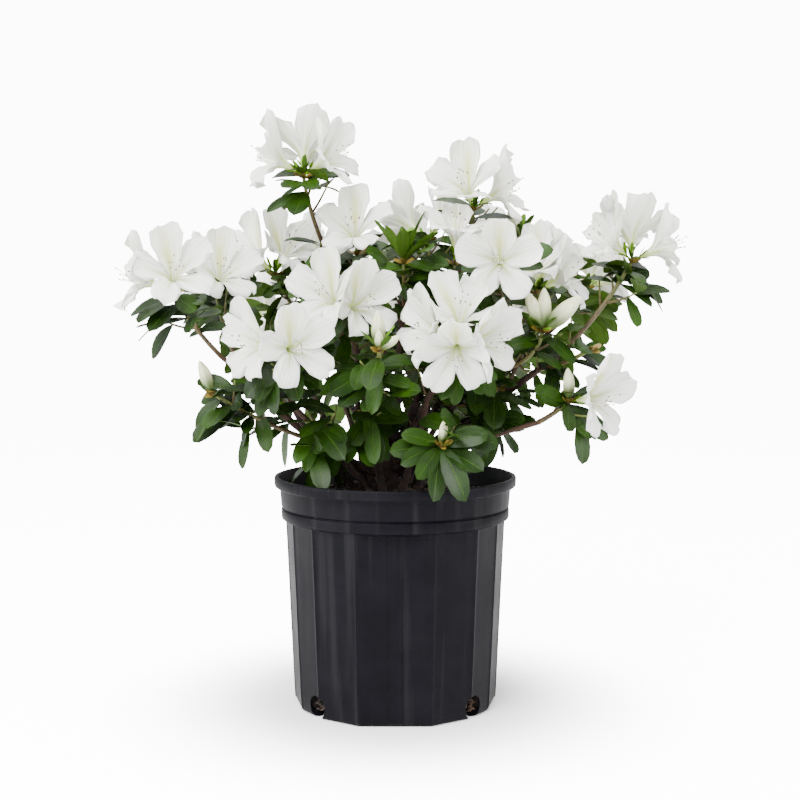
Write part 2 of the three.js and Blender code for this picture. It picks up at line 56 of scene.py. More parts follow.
# %% Camera
CAMERA_PLACE = (5, -1500, 438)
CAMERA_DOWN = 4.5
CAMERA_LENS = 64.5
SENSOR_WIDTH = 36
camera_data = bpy.data.cameras.new("camera")
camera_data.lens = CAMERA_LENS
camera_data.sensor_width = SENSOR_WIDTH
camera = bpy.data.objects.new("camera", camera_data)
camera.location = Vector(CAMERA_PLACE) * MM
camera.rotation_euler = (math.radians(90 - CAMERA_DOWN), 0, 0)
bpy.context.collection.objects.link(camera)
bpy.context.scene.camera = camera
print("camera at", tuple(camera.location))

# %% [markdown]
# A finish is a small tree of nodes, and so is the studio's light.
# These helpers add a node with its settings and links, do one sum, make one soft step or start a
# finish, so that each tree below reads like a recipe.

# %% Helpers for node trees
def add(tree, kind, feeds=None, **settings):
    """A new node, with its settings set and its inputs linked or given values."""
    made = tree.nodes.new(kind)
    for key, value in settings.items():
        setattr(made, key, value)
    for key, value in (feeds or {}).items():
        if isinstance(value, bpy.types.NodeSocket):
            tree.links.new(value, made.inputs[key])
        else:
            made.inputs[key].default_value = value
    return made


def maths(tree, rule, *values):
    return add(tree, "ShaderNodeMath", dict(enumerate(values)), operation=rule).outputs[0]


def soften(tree, value, low, high):
    """0 below low, 1 above high, and a smooth step between."""
    feeds = {"Value": value, "From Min": low, "From Max": high}
    return add(tree, "ShaderNodeMapRange", feeds, interpolation_type="SMOOTHSTEP").outputs["Result"]


def own_place(tree):
    return add(tree, "ShaderNodeTexCoord").outputs["Object"]


def plain_finish(name, roughness, **settings):
    """A material and its Principled shader, with whole-surface values set directly on it."""
    made = bpy.data.materials.new(name)
    made.use_nodes = True
    shader = made.node_tree.nodes["Principled BSDF"]
    shader.inputs["Roughness"].default_value = roughness
    for key, value in settings.items():
        shader.inputs[key.replace("_", " ")].default_value = value
    return made, made.node_tree, shader

# %% [markdown]
# The light is a white photo studio: a bright room all round, one large soft lamp overhead, one high
# in front, and one at each side that draws the pale lines down the pot's corners.
# The floor is one wide pale sheet. The camera sees the backdrop, and the floor away from the pot, brighter
# than they light the plant, as a sheet exposed for pure white is. The floor's camera-only glow is held back
# at the pot's foot and rises to full further out, so the only shadow, the soft one round the pot's foot, is
# real shadow deepened by this painted shade.

# %% Floor and studio light
ROOM_WHITE = (1.0, 1.0, 1.0, 1)
ROOM_STRENGTH = 1.4
BACKDROP_STRENGTH = 12.0
FLOOR_RADIUS, FLOOR_SIDES = 9000, 96
FLOOR_WHITE, FLOOR_ROUGHNESS = (0.93, 0.93, 0.93, 1), 0.9
GLOW_START, GLOW_END = 112, 340
# Each lamp's place, its aim and the side of its square in millimetres, and its power in watts.
LAMPS = {
    "lamp_over": ((0, 200, 2300), (0, 0, 0), 2600, 90),
    "lamp_high": ((-700, -1500, 1900), (0, 0, 380), 1300, 125),
    "lamp_left": ((-1700, -500, 700), (0, 0, 250), 900, 27),
    "lamp_right": ((1700, -500, 700), (0, 0, 250), 900, 23),
}

world = bpy.data.worlds.new("studio")
world.use_nodes = True
room = world.node_tree
backdrop = room.nodes["Background"]
backdrop.inputs["Color"].default_value = ROOM_WHITE
camera_ray = add(room, "ShaderNodeLightPath").outputs["Is Camera Ray"]
feeds = {"Value": camera_ray, "To Min": ROOM_STRENGTH, "To Max": BACKDROP_STRENGTH}
room_strength = add(room, "ShaderNodeMapRange", feeds).outputs["Result"]
room.links.new(room_strength, backdrop.inputs["Strength"])
bpy.context.scene.world = world

for name, (place, aim, size, power) in LAMPS.items():
    data = bpy.data.lights.new(name, "AREA")
    data.size = size * MM
    data.energy = power
    lamp = bpy.data.objects.new(name, data)
    lamp.location = Vector(place) * MM
    lamp.rotation_euler = (Vector(aim) - Vector(place)).to_track_quat("-Z", "Y").to_euler()
    bpy.context.collection.objects.link(lamp)

made = bmesh.new()
bmesh.ops.create_circle(made, cap_ends=True, radius=FLOOR_RADIUS * MM, segments=FLOOR_SIDES)
floor_mesh = bpy.data.meshes.new("floor")
made.to_mesh(floor_mesh)
made.free()
floor = bpy.data.objects.new("floor", floor_mesh)
bpy.context.collection.objects.link(floor)
floor_paint, tree, shader = plain_finish("floor_paint", FLOOR_ROUGHNESS)
shader.inputs["Base Color"].default_value = FLOOR_WHITE
shader.inputs["Emission Color"].default_value = ROOM_WHITE
# Painted shade round the pot: the glow is nothing at the foot and grows with distance from it.
distance = add(tree, "ShaderNodeVectorMath", {0: own_place(tree)}, operation="LENGTH")
far = soften(tree, distance.outputs["Value"], GLOW_START * MM, GLOW_END * MM)
full_glow = BACKDROP_STRENGTH - ROOM_STRENGTH * FLOOR_WHITE[0]
glow = maths(tree, "MULTIPLY", far, full_glow)
camera_ray = add(tree, "ShaderNodeLightPath").outputs["Is Camera Ray"]
tree.links.new(maths(tree, "MULTIPLY", glow, camera_ray), shader.inputs["Emission Strength"])
floor_mesh.materials.append(floor_paint)
print("floor radius", FLOOR_RADIUS, "mm,", len(LAMPS), "lamps")

# %% [markdown]
# Everything that grows has a direction, so the next helpers turn and tilt directions.
# A turn of 0 faces the photograph's side and 90 its right, and a rise of 90 points straight up.

# %% Directions
NEAR_UPRIGHT = 0.94


def mix(a, b, share):
    return a + (b - a) * share


def unit(v):
    return v / np.linalg.norm(v)


def way(turn, rise):
    """The unit vector of a turn and a rise in degrees."""
    turn, rise = math.radians(turn), math.radians(rise)
    return np.array([math.cos(rise) * math.sin(turn), -math.cos(rise) * math.cos(turn), math.sin(rise)])


def square(axis):
    """Two unit vectors square to an axis and to each other, the second one the more upright."""
    hint = (0, 1, 0) if abs(axis[2]) > NEAR_UPRIGHT else (0, 0, 1)
    across = unit(np.cross(axis, hint))
    return across, np.cross(across, axis)


def turned(v, axis, angle):
    """A vector turned about an axis by degrees."""
    angle = math.radians(angle)
    return (
        v * math.cos(angle) + np.cross(axis, v) * math.sin(angle)
        + axis * np.dot(axis, v) * (1 - math.cos(angle))
    )


def aside(axis, angle, around):
    """The direction at an angle from an axis, at a turn round it."""
    across, over = square(axis)
    out = across * math.cos(math.radians(around)) + over * math.sin(math.radians(around))
    return axis * math.cos(math.radians(angle)) + out * math.sin(math.radians(angle))

# %% [markdown]
# Stems are bowed curves, each through a start, a point between and an end, because a branch bends
# under its own weight. Chance is a seeded stream, so the same shrub grows each time.

# %% Chance and curves
STREAM_FACTOR, STREAM_STEP, STREAM_SIZE = 1664525, 1013904223, 4294967296
STRAIGHT = 0.02


def seeded(seed):
    """A repeatable stream of numbers from 0 to 1, so that a seed always grows the same shrub."""
    state = seed

    def draw():
        nonlocal state
        state = (state * STREAM_FACTOR + STREAM_STEP) % STREAM_SIZE
        return state / STREAM_SIZE

    return draw


class Bow:
    """A quadratic curve from a start to an end, drawn towards a bend."""

    def __init__(self, start, bend, end):
        self.start, self.bend, self.end = (np.array(p, float) for p in (start, bend, end))
        first, last = unit(self.bend - self.start), unit(self.end - self.bend)
        normal = np.cross(first, last)
        self.normal = unit(normal) if np.linalg.norm(normal) > STRAIGHT else square(first)[0]

    def at(self, share):
        share = np.asarray(share, float)[..., None]
        low, high = mix(self.start, self.bend, share), mix(self.bend, self.end, share)
        return mix(low, high, share)

    def heading(self, share):
        share = np.asarray(share, float)[..., None]
        along = mix(self.bend - self.start, self.end - self.bend, share)
        return along / np.linalg.norm(along, axis=-1, keepdims=True)


def bow_through(start, via, end):
    start, via, end = (np.array(p, float) for p in (start, via, end))
    return Bow(start, 2 * via - start / 2 - end / 2, end)

# %% [markdown]
# A shrub is drawn limb by limb. Each bough leaves its parent a share of the way along, passes a
# point and ends at its tip, and has a radius at its foot and at its tip. Each shoot then runs from a
# bough to its heart, where flowers, buds and a whorl of leaves spring.
# The tables are those of the solid model, so the fine shapes and the plain ones share a skeleton.

# %% The boughs
LIMBS = {
    "bough_left": ("trunk", 0.4, (-61, -15, 264), (-128, -30, 319), (5.6, 3.3)),
    "bough_left_outer": ("bough_left", 0.93, (-150, -38, 343), (-176, -45, 367), (2.9, 2.3)),
    "bough_left_front": ("bough_left", 0.7, (-104, -42, 315), (-110, -64, 340), (2.8, 2.2)),
    "bough_left_back": ("bough_left", 0.5, (-100, 25, 345), (-150, 55, 392), (3.1, 2.3)),
    "bough_top_left": ("trunk", 0.9, (-42, 22, 370), (-75, 2, 482), (5.2, 2.9)),
    "bough_centre_left": ("trunk", 0.75, (-30, -12, 325), (-40, -34, 378), (3.9, 2.6)),
    "bough_centre": ("trunk", 0.95, (2, 2, 345), (9, -30, 420), (3.8, 2.6)),
    "bough_centre_front": ("trunk", 0.7, (24, -32, 305), (45, -72, 350), (3.8, 2.6)),
    "bough_front_low": ("trunk", 0.45, (18, -44, 262), (34, -84, 275), (2.8, 2.1)),
    "bough_top_right": ("trunk", 0.85, (36, 24, 350), (70, 14, 462), (5.0, 2.9)),
    "bough_right_mid": ("trunk", 0.8, (58, -8, 330), (112, -38, 402), (4.2, 2.6)),
    "bough_right_high": ("bough_top_right", 0.45, (88, 45, 400), (118, 42, 446), (2.9, 2.2)),
    "bough_right": ("trunk", 0.5, (88, 8, 306), (176, -20, 374), (5.0, 2.9)),
    "bough_right_low": ("trunk", 0.3, (72, -42, 276), (142, -76, 303), (3.5, 2.3)),
    "bough_right_back": ("bough_right", 0.45, (120, 50, 345), (172, 72, 392), (3.1, 2.3)),
    "bough_back": ("trunk", 0.8, (4, 62, 330), (4, 120, 400), (4.4, 2.6)),
    "bough_back_left": ("trunk", 0.55, (-50, 66, 310), (-108, 138, 362), (4.2, 2.5)),
    "bough_back_right": ("trunk", 0.6, (52, 66, 312), (108, 134, 366), (4.2, 2.5)),
    "bough_back_low": ("bough_back", 0.4, (-8, 112, 334), (-12, 168, 362), (3.0, 2.2)),
}

# %% The shoots
SHOOTS = {
    "truss_top_left": dict(
        start=("bough_top_left", 1), heart=(-94, -20, 552), lean=(-30, 76),
        blooms=[(-80, 30), (180, 60), (66, 30)], whorl=(6, 20), twigs=1,
    ),
    "truss_left": dict(
        start=("bough_left_outer", 1), heart=(-223, -60, 433), lean=(-60, 62),
        blooms=[(-76, 25), (12, 36)], whorl=(5, 40), twigs=2,
    ),
    "truss_left_rear": dict(
        start=("bough_left_outer", 0.55), heart=(-187, 2, 431), lean=(-20, 70),
        blooms=[(20, 40)], whorl=(5, 0), twigs=1,
    ),
    "truss_behind_left": dict(
        start=("bough_top_left", 0.5), heart=(-130, 62, 452), lean=(-60, 70),
        blooms=[(-50, 34), (40, 52)], whorl=(5, 10), twigs=1,
    ),
    "truss_front_left": dict(
        start=("bough_left_front", 1), heart=(-108, -95, 376), lean=(-20, 50),
        blooms=[(-55, 14), (20, 8)], whorl=(5, 30), twigs=2,
    ),
    "truss_centre_left": dict(
        start=("bough_centre_left", 1), heart=(-53, -70, 413), lean=(0, 60),
        blooms=[(-25, 30), (35, 14)], whorl=(5, 25), twigs=1,
    ),
    "truss_upper_centre": dict(
        start=("bough_top_left", 0.74), heart=(-40, -2, 474), lean=(10, 75),
        blooms=[(-5, 45)], whorl=(5, 50), twigs=1,
    ),
    "leafy_centre": dict(
        start=("bough_centre", 1), heart=(9, -56, 464), lean=(0, 80),
        whorl=(8, 15), twigs=1,
    ),
    "buds_front": dict(
        start=("bough_centre_left", 0.5), heart=(-15, -132, 379), lean=(0, 50),
        buds=[(-10, 78, 38), (0, 52, 24), (62, 30, 26)], whorl=(7, 5), twigs=1,
    ),
    "truss_top_right": dict(
        start=("bough_top_right", 1), heart=(81, 0, 520), lean=(0, 76),
        blooms=[(-20, 40), (76, 30)], whorl=(6, 35), twigs=1,
    ),
    "truss_behind_top": dict(
        start=("bough_top_right", 0.7), heart=(34, 62, 490), lean=(200, 74),
        blooms=[(-130, 30), (120, 45)], whorl=(5, 15), twigs=1,
    ),
    "truss_upper_right": dict(
        start=("bough_top_right", 0.5), heart=(60, -35, 463), lean=(10, 70),
        blooms=[(20, 76)], whorl=(5, 5), twigs=1,
    ),
    "truss_right_centre": dict(
        start=("bough_right_mid", 1), heart=(104, -72, 461), lean=(0, 60),
        blooms=[(-5, 4)], whorl=(5, 45), twigs=1,
    ),
    "buds_upper_right": dict(
        start=("bough_right_high", 1), heart=(132, 30, 490), lean=(20, 80),
        buds=[(-50, 60, 34)], whorl=(6, 25), twigs=0,
    ),
    "truss_right_inner": dict(
        start=("bough_right", 0.62), heart=(146, -15, 433), lean=(0, 75),
        blooms=[(-10, 60), (65, 30), (150, 55)], whorl=(5, 20), twigs=1,
    ),
    "buds_right": dict(
        start=("bough_right_mid", 0.62), heart=(146, -88, 396), lean=(10, 60),
        buds=[(-62, 62, 42), (0, 82, 42), (82, 42, 50)], whorl=(6, 10), twigs=1,
    ),
    "truss_right": dict(
        start=("bough_right", 1), heart=(245, -10, 465), lean=(70, 62),
        blooms=[(-75, 40), (180, 70), (80, 25)], whorl=(7, 40), twigs=2,
    ),
    "truss_right_low": dict(
        start=("bough_right_low", 1), heart=(172, -90, 326), lean=(45, 40),
        blooms=[(48, 8)], buds=[(-20, 78, 34)], whorl=(5, 30), twigs=2,
    ),
    "truss_front": dict(
        start=("bough_centre_front", 1), heart=(61, -112, 385), lean=(5, 45),
        blooms=[(-5, -14), (50, 5), (5, 56), (-65, 20)], whorl=(5, 25), twigs=1,
    ),
    "buds_front_low": dict(
        start=("bough_front_low", 1), heart=(45, -120, 286), lean=(8, 34),
        buds=[(20, 72, 26)], whorl=(6, 22), twigs=1,
    ),
    "buds_left_low": dict(
        start=("bough_left", 0.66), heart=(-184, -55, 331), lean=(-80, 35),
        buds=[(-80, 68, 36)], whorl=(6, 12), twigs=2,
    ),
    "leafy_left_low": dict(
        start=("bough_left", 0.42), heart=(-80, -66, 300), lean=(-10, 20),
        whorl=(6, 10), twigs=2,
    ),
    "leafy_centre_low": dict(
        start=("bough_centre_left", 0.3), heart=(-30, -72, 312), lean=(10, 30),
        whorl=(6, 40), twigs=2,
    ),
    "leafy_right_inner": dict(
        start=("bough_right_mid", 0.4), heart=(104, -52, 336), lean=(30, 40),
        whorl=(6, 15), twigs=2,
    ),
    "leafy_right_low": dict(
        start=("bough_right", 0.85), heart=(196, -66, 376), lean=(60, 30),
        whorl=(6, 0), twigs=1,
    ),
    "truss_back_left": dict(
        start=("bough_left_back", 1), heart=(-186, 92, 436), lean=(-110, 60),
        blooms=[(-90, 30), (-160, 25)], whorl=(5, 30), twigs=1,
    ),
    "truss_back_left_low": dict(
        start=("bough_back_left", 1), heart=(-152, 188, 392), lean=(-140, 45),
        blooms=[(-110, 20), (-165, 35)], whorl=(5, 10), twigs=1,
    ),
    "truss_back_upper_left": dict(
        start=("bough_back_left", 0.6), heart=(-78, 138, 452), lean=(-160, 65),
        blooms=[(-120, 45), (170, 30)], whorl=(5, 50), twigs=1,
    ),
    "truss_back_centre": dict(
        start=("bough_back", 1), heart=(8, 158, 460), lean=(180, 60),
        blooms=[(-170, 30), (100, 45)], whorl=(5, 20), twigs=1,
    ),
    "truss_back_low": dict(
        start=("bough_back_low", 1), heart=(-22, 218, 386), lean=(180, 40),
        blooms=[(-150, 15), (160, 30)], buds=[(100, 50, 36)], whorl=(5, 35), twigs=1,
    ),
    "truss_back_right_low": dict(
        start=("bough_back_right", 1), heart=(118, 196, 392), lean=(150, 45),
        blooms=[(175, 20), (112, 25)], whorl=(5, 15), twigs=1,
    ),
    "truss_back_upper_right": dict(
        start=("bough_back_right", 0.6), heart=(92, 122, 462), lean=(150, 65),
        blooms=[(130, 40), (60, 50)], whorl=(5, 0), twigs=1,
    ),
    "truss_back_right": dict(
        start=("bough_right_back", 1), heart=(210, 92, 436), lean=(110, 55),
        blooms=[(85, 25), (150, 30)], whorl=(5, 40), twigs=1,
    ),
}

# %% Grow the limbs and start the shoots
SOIL_TOP, SOIL_EDGE = 228, 217
TRUNK_POINTS = ((-6, 0, SOIL_TOP - 4), (-6, 1, 246), (-2, 3, 262))
BLOOM_REACH = 46
STEM_BEND = 0.45
STEM_SITES = (0.75, 0.5, 0.3)

curves = {"trunk": bow_through(*TRUNK_POINTS)}
for name, (parent, at, via, tip, _) in LIMBS.items():
    curves[name] = bow_through(curves[parent].at(at), via, tip)


class Shoot:
    """A stem with its heart, flowers and buds, and later its twigs and leaves."""

    def __init__(self, name, start, heart, lean, whorl, twigs, blooms=(), buds=()):
        self.name, self.whorl, self.twig_count = name, whorl, twigs
        self.heart, self.lean = np.array(heart, float), way(*lean)
        foot = curves[start[0]].at(start[1])
        bend = self.heart - self.lean * STEM_BEND * np.linalg.norm(self.heart - foot)
        self.curve = Bow(foot, bend, self.heart)
        self.blooms = [way(*aim) for aim in blooms]
        self.buds = [(way(turn, rise), length) for turn, rise, length in buds]
        self.centres = [self.heart + axis * BLOOM_REACH for axis in self.blooms]
        self.sites = np.array([self.heart, *self.centres, *self.curve.at(STEM_SITES)])


shoots = [Shoot(name, **spec) for name, spec in SHOOTS.items()]
print(len(curves), "limbs,", len(shoots), "shoots,", sum(len(s.blooms) for s in shoots), "flowers")

# %% [markdown]
# Every shoot keeps to its own space, as on a living shrub, where each one grows towards free light.
# Its space ends at the planes halfway to its neighbours, and a leaf that would pass them, or hide
# the face of a flower, is left out.

# %% Room for each shoot
LEAF_WIDTH = 0.44
# How far past its shoot's own space a leaf may reach, as depths below zero.
LEAF_SLACK, YOUNG_SLACK = -4, -16
LEAF_CHECKS, TWIG_CHECKS = (0.35, 0.6, 0.8, 1.0), (0.4, 0.7, 1.0)
FACE_RADIUS, FACE_HEIGHT, FACE_SKIN = 44, 62, 2
FLOWER_RADII = (0, 5, 8.5, 14.5, 22.5, 30.5, 37.5, 44)
FLOWER_HEIGHTS = (9, 23, 28, 33, 39, 43.5, 46, 46)
all_sites = np.concatenate([shoot.sites for shoot in shoots])
owner = np.repeat(np.arange(len(shoots)), [len(shoot.sites) for shoot in shoots])
bloom_axes = np.array([axis for shoot in shoots for axis in shoot.blooms])
bloom_hearts = np.array([shoot.heart for shoot in shoots for _ in shoot.blooms])


def depth_in_space(points, index):
    """How far points lie inside a shoot's own space."""
    apart = ((points[:, None, :] - all_sites[None]) ** 2).sum(axis=-1)
    mine = owner == index
    own = apart[:, mine].argmin(axis=1)
    own_site = all_sites[mine][own]
    own_apart = apart[:, mine].min(axis=1)
    between = np.linalg.norm(all_sites[None, ~mine] - own_site[:, None], axis=-1)
    return ((apart[:, ~mine] - own_apart[:, None]) / (2 * between)).min(axis=1)


def hides_flower(points):
    """True if any point lies over a flower's face, or in the funnel of one."""
    away = points[:, None, :] - bloom_hearts[None]
    height = (away * bloom_axes).sum(axis=-1)
    radius = np.linalg.norm(away - height[..., None] * bloom_axes, axis=-1)
    surface = np.interp(radius, FLOWER_RADII, FLOWER_HEIGHTS)
    over = (radius < FACE_RADIUS) & (height > surface - FACE_SKIN) & (height < FACE_HEIGHT)
    return bool(over.any())


def leaf_fits(leaf, index):
    slack = YOUNG_SLACK if leaf["young"] else LEAF_SLACK
    side = leaf["side"] * leaf["length"] * LEAF_WIDTH / 2
    checked = []
    for share in LEAF_CHECKS:
        middle = leaf["root"] + leaf["along"] * leaf["length"] * share
        middle[2] -= leaf["droop"] * leaf["length"] * share ** 2
        width = 4 * share * (1 - share)
        checked += [middle - side * width, middle + side * width]
    checked = np.array(checked)
    return depth_in_space(checked, index).min() > slack and (leaf["young"] or not hides_flower(checked))


def twig_fits(twig, index):
    checked = twig.at(TWIG_CHECKS)
    return depth_in_space(checked, index).min() > 0 and not hides_flower(checked)


print(len(all_sites), "places share out the crown")

# %% [markdown]
# A grown leaf turns its face to the light of its own side of the crown, rises no steeper than 22
# degrees, and hangs a little from its stalk. Beside a flower it runs below the petals.
# A young leaf still stands up as it left the bud.

# %% Which way a leaf lies
BELOW_BLOOM = math.radians(50)
HIGHEST_RISE = 0.38
CROWN_RADIUS, CROWN_MIDDLE = 150, 40
SIDE_LEAN, DEPTH_LEAN, FORWARD_LEAN = 0.4, 1.2, 0.5
HANG = 0.4


def below_blooms(along, blooms):
    """Turns a leaf back so that it runs below the flowers beside it and not through them."""
    for axis in blooms:
        if np.dot(along, axis) > math.cos(BELOW_BLOOM):
            out = unit(along - axis * np.dot(along, axis))
            along = axis * math.cos(BELOW_BLOOM) + out * math.sin(BELOW_BLOOM)
    return along


def laid_back(along):
    """Tips an upright leaf down, since grown leaves spread level below the flowers."""
    if along[2] <= HIGHEST_RISE:
        return along
    level = unit(np.array([along[0], along[1], 0.0]))
    return level * math.sqrt(1 - HIGHEST_RISE ** 2) + np.array([0, 0, HIGHEST_RISE])


def side_to_light(along, root):
    """A leaf's side vector, with its face turned up and towards the light on its side of the crown."""
    forward = -FORWARD_LEAN if root[1] < CROWN_MIDDLE else FORWARD_LEAN
    outward = np.array([root[0] * SIDE_LEAN, root[1] * DEPTH_LEAN, 0.0]) / CROWN_RADIUS
    return unit(np.cross(along, outward + (0, forward, 1)))


def hanging(along, share):
    """Lets a leaf hang below its first aim by a share of the most that its stalk bends."""
    return unit(along - np.array([0, 0, HANG * share]))


def new_leaf(root, along, length, droop, roll=0.0, young=False):
    along = along if young else laid_back(along)
    side = square(along)[0] if young else side_to_light(along, root)
    side = turned(side, along, roll)
    return dict(root=root, along=along, side=side, length=length, droop=droop, young=young)


print("steepest grown leaf:", round(math.degrees(math.asin(HIGHEST_RISE))), "degrees")

# %% [markdown]
# Leaves and twigs come from a seeded rule: the golden turn of 137.5 degrees from leaf to leaf is how
# real shoots share the light. The first numbers drawn are those of the solid model, and a second
# stream grows the finer twigs and leaves.
# Each habit below says how one kind grows, and a pair of numbers in it is a range. Along a stem,
# step and slip set the leaves out. Angle is measured from the stem, swing is the play in the turn
# round it, and roll the play in the twist of a leaf. A leaf's length is a share of a full leaf.

# %% Habits of leaves and twigs
LEAF_LENGTH = 49
GOLDEN_TURN = 137.5
WHORL = dict(step=0.045, slip=0.02, angle=(62, 84), swing=14, length=(0.82, 1.14), droop=(0.04, 0.2))
LOW_LEAVES = dict(
    count=2, start=0.4, step=0.2, angle=(60, 88), turn=60, length=(0.62, 0.86), droop=(0.05, 0.22),
)
STEM_LEAVES = dict(
    first=65, start=0.985, step=0.06, slip=0.02, angle=(50, 82), swing=25, length=(0.76, 1.12),
    droop=(0.05, 0.35), roll=50, near_blooms=0.8,
)
YOUNG_LEAVES = dict(angle=(14, 60), swing=20, length=(0.75, 1.15), droop=(-0.15, 0.2))
TWIG_SWING, BLADE_SWING = 40, 30
MODEL_TWIG = dict(
    first=80, turn=170, share=(0.42, 0.62), angle=(48, 64), reach=(26, 40), rise=6, sag=2, blades=3,
    blade_step=0.14, blade_angle=(48, 74), blade_turn=120, blade_length=(0.75, 1), blade_droop=(0.04, 0.2),
    roll=0,
)
FINE_TWIG = dict(
    first=30, turn=GOLDEN_TURN, share=(0.28, 0.85), angle=(42, 72), reach=(20, 36), rise=5, sag=2,
    blade_step=0.13, blade_angle=(35, 78), blade_turn=GOLDEN_TURN, blade_length=(0.7, 1.0),
    blade_droop=(0.04, 0.25), roll=50,
)
INNER_TWIG = dict(
    turn=GOLDEN_TURN, share=(0.38, 1.0), angle=(50, 85), reach=(14, 36), rise=5, sag=0, blades=5,
    blade_step=0.12, blade_angle=(35, 80), blade_turn=GOLDEN_TURN, blade_length=(0.7, 1.0),
    blade_droop=(0.04, 0.3), roll=60, spacing=18,
)
# Leaves along the stem, side twigs, and leaves on each of them. The shoots at the crown's edge stand
# open against the sky and carry fewer.
FULL_COUNTS, OPEN_COUNTS = (11, 4, 5), (6, 1, 4)
OPEN_SHOOTS = (
    "truss_top_left", "truss_left", "truss_left_rear", "buds_left_low", "truss_right", "truss_right_low",
    "leafy_right_low", "buds_upper_right", "truss_top_right", "buds_front_low",
)
# How many young leaves stand at a shoot's heart, and their length in millimetres.
YOUNG = {
    "truss_top_left": (7, 22), "leafy_centre": (10, 46), "buds_front": (4, 26), "truss_right": (4, 20),
    "buds_upper_right": (7, 28), "truss_top_right": (4, 20), "truss_left": (3, 18), "buds_right": (5, 24),
    "truss_behind_left": (4, 22), "truss_back_centre": (5, 24), "truss_right_inner": (4, 20),
    "buds_front_low": (4, 22), "truss_back_right": (4, 20),
}
BARE_BOUGHS = ("bough_right_low", "bough_left_outer", "bough_front_low")
print(len(OPEN_SHOOTS), "open shoots,", len(YOUNG), "with young leaves")

# %% The rule that grows them
def leafy_twig(stem, share, around, first_blade, blades, habit, draw):
    """A side twig that leaves its stem at a share and a turn round it, with its leaves."""
    root = stem.at(share)
    angle = mix(*habit["angle"], draw())
    along = aside(stem.heading(share), angle, around + TWIG_SWING * draw())
    tip = root + along * mix(*habit["reach"], draw()) + (0, 0, habit["rise"])
    twig = bow_through(root, (root + tip) / 2 - (0, 0, habit["sag"]), tip)
    end, leaves = unit(tip - root), []
    for number in range(blades):
        angle = mix(*habit["blade_angle"], draw())
        turn = first_blade + number * habit["blade_turn"] + BLADE_SWING * draw()
        blade = aside(end, angle, turn)
        length = LEAF_LENGTH * mix(*habit["blade_length"], draw())
        if habit["roll"]:
            blade = hanging(blade, draw())
        droop = mix(*habit["blade_droop"], draw())
        roll = habit["roll"] * (draw() - 0.5) if habit["roll"] else 0.0
        leaves.append(new_leaf(twig.at(1 - habit["blade_step"] * number), blade, length, droop, roll))
    return twig, leaves


def grow(shoot, seed):
    """The leaves and twigs that the solid model has, in its own order of drawing."""
    draw = seeded(seed)
    count, first = shoot.whorl
    leaves, twigs = [], []
    for i in range(count):
        share = 1 - WHORL["step"] * i - WHORL["slip"] * draw()
        angle = mix(*WHORL["angle"], draw())
        aim = aside(shoot.lean, angle, first + i * GOLDEN_TURN + WHORL["swing"] * draw())
        length = LEAF_LENGTH * mix(*WHORL["length"], draw())
        along = below_blooms(aim, shoot.blooms)
        leaves.append(new_leaf(shoot.curve.at(share), along, length, mix(*WHORL["droop"], draw())))
    for i in range(LOW_LEAVES["count"]):
        share = LOW_LEAVES["start"] + LOW_LEAVES["step"] * i
        angle = mix(*LOW_LEAVES["angle"], draw())
        along = aside(shoot.curve.heading(share), angle, first + i * GOLDEN_TURN + LOW_LEAVES["turn"])
        length = LEAF_LENGTH * mix(*LOW_LEAVES["length"], draw())
        leaves.append(new_leaf(shoot.curve.at(share), along, length, mix(*LOW_LEAVES["droop"], draw())))
    for i in range(shoot.twig_count):
        share = mix(*MODEL_TWIG["share"], draw())
        around = first + MODEL_TWIG["first"] + i * MODEL_TWIG["turn"]
        twigs.append(leafy_twig(shoot.curve, share, around, first, MODEL_TWIG["blades"], MODEL_TWIG, draw))
    return leaves, twigs


def grow_finer(shoot, seed):
    """The smaller leaves along the stem, side twigs with their leaves, and young leaves at the heart."""
    draw = seeded(seed)
    first = shoot.whorl[1] + STEM_LEAVES["first"]
    leaves, twigs = [], []
    stem_count, twig_count, blades = OPEN_COUNTS if shoot.name in OPEN_SHOOTS else FULL_COUNTS
    for i in range(stem_count):
        share = STEM_LEAVES["start"] - STEM_LEAVES["step"] * i - STEM_LEAVES["slip"] * draw()
        angle = mix(*STEM_LEAVES["angle"], draw())
        turn = first + i * GOLDEN_TURN + STEM_LEAVES["swing"] * draw()
        aim = aside(shoot.curve.heading(share), angle, turn)
        along = below_blooms(aim, shoot.blooms) if share > STEM_LEAVES["near_blooms"] else aim
        length = LEAF_LENGTH * mix(*STEM_LEAVES["length"], draw())
        along = hanging(along, draw())
        droop = mix(*STEM_LEAVES["droop"], draw())
        roll = STEM_LEAVES["roll"] * (draw() - 0.5)
        leaves.append(new_leaf(shoot.curve.at(share), along, length, droop, roll))
    for i in range(twig_count):
        share = mix(*FINE_TWIG["share"], (i + draw()) / twig_count)
        around = first + FINE_TWIG["first"] + i * FINE_TWIG["turn"]
        twigs.append(leafy_twig(shoot.curve, share, around, first, blades, FINE_TWIG, draw))
    young_count, young_length = YOUNG.get(shoot.name, (0, 0))
    for i in range(young_count):
        angle = mix(*YOUNG_LEAVES["angle"], draw())
        along = aside(shoot.lean, angle, first + i * GOLDEN_TURN + YOUNG_LEAVES["swing"] * draw())
        length = young_length * mix(*YOUNG_LEAVES["length"], draw())
        droop = mix(*YOUNG_LEAVES["droop"], draw())
        leaves.append(new_leaf(shoot.heart, along, length, droop, young=True))
    return leaves, twigs


def grow_inside(name, seed):
    """Short leafy twigs along a bough, which fill the shaded middle of the crown."""
    draw = seeded(seed)
    curve, twigs = curves[name], []
    length = np.linalg.norm(curve.end - curve.start)
    count = 0 if name in BARE_BOUGHS else int(length / INNER_TWIG["spacing"])
    for i in range(count):
        share = mix(*INNER_TWIG["share"], (i + draw()) / count)
        around = i * INNER_TWIG["turn"]
        twigs.append(leafy_twig(curve, share, around, 0, INNER_TWIG["blades"], INNER_TWIG, draw))
    return twigs


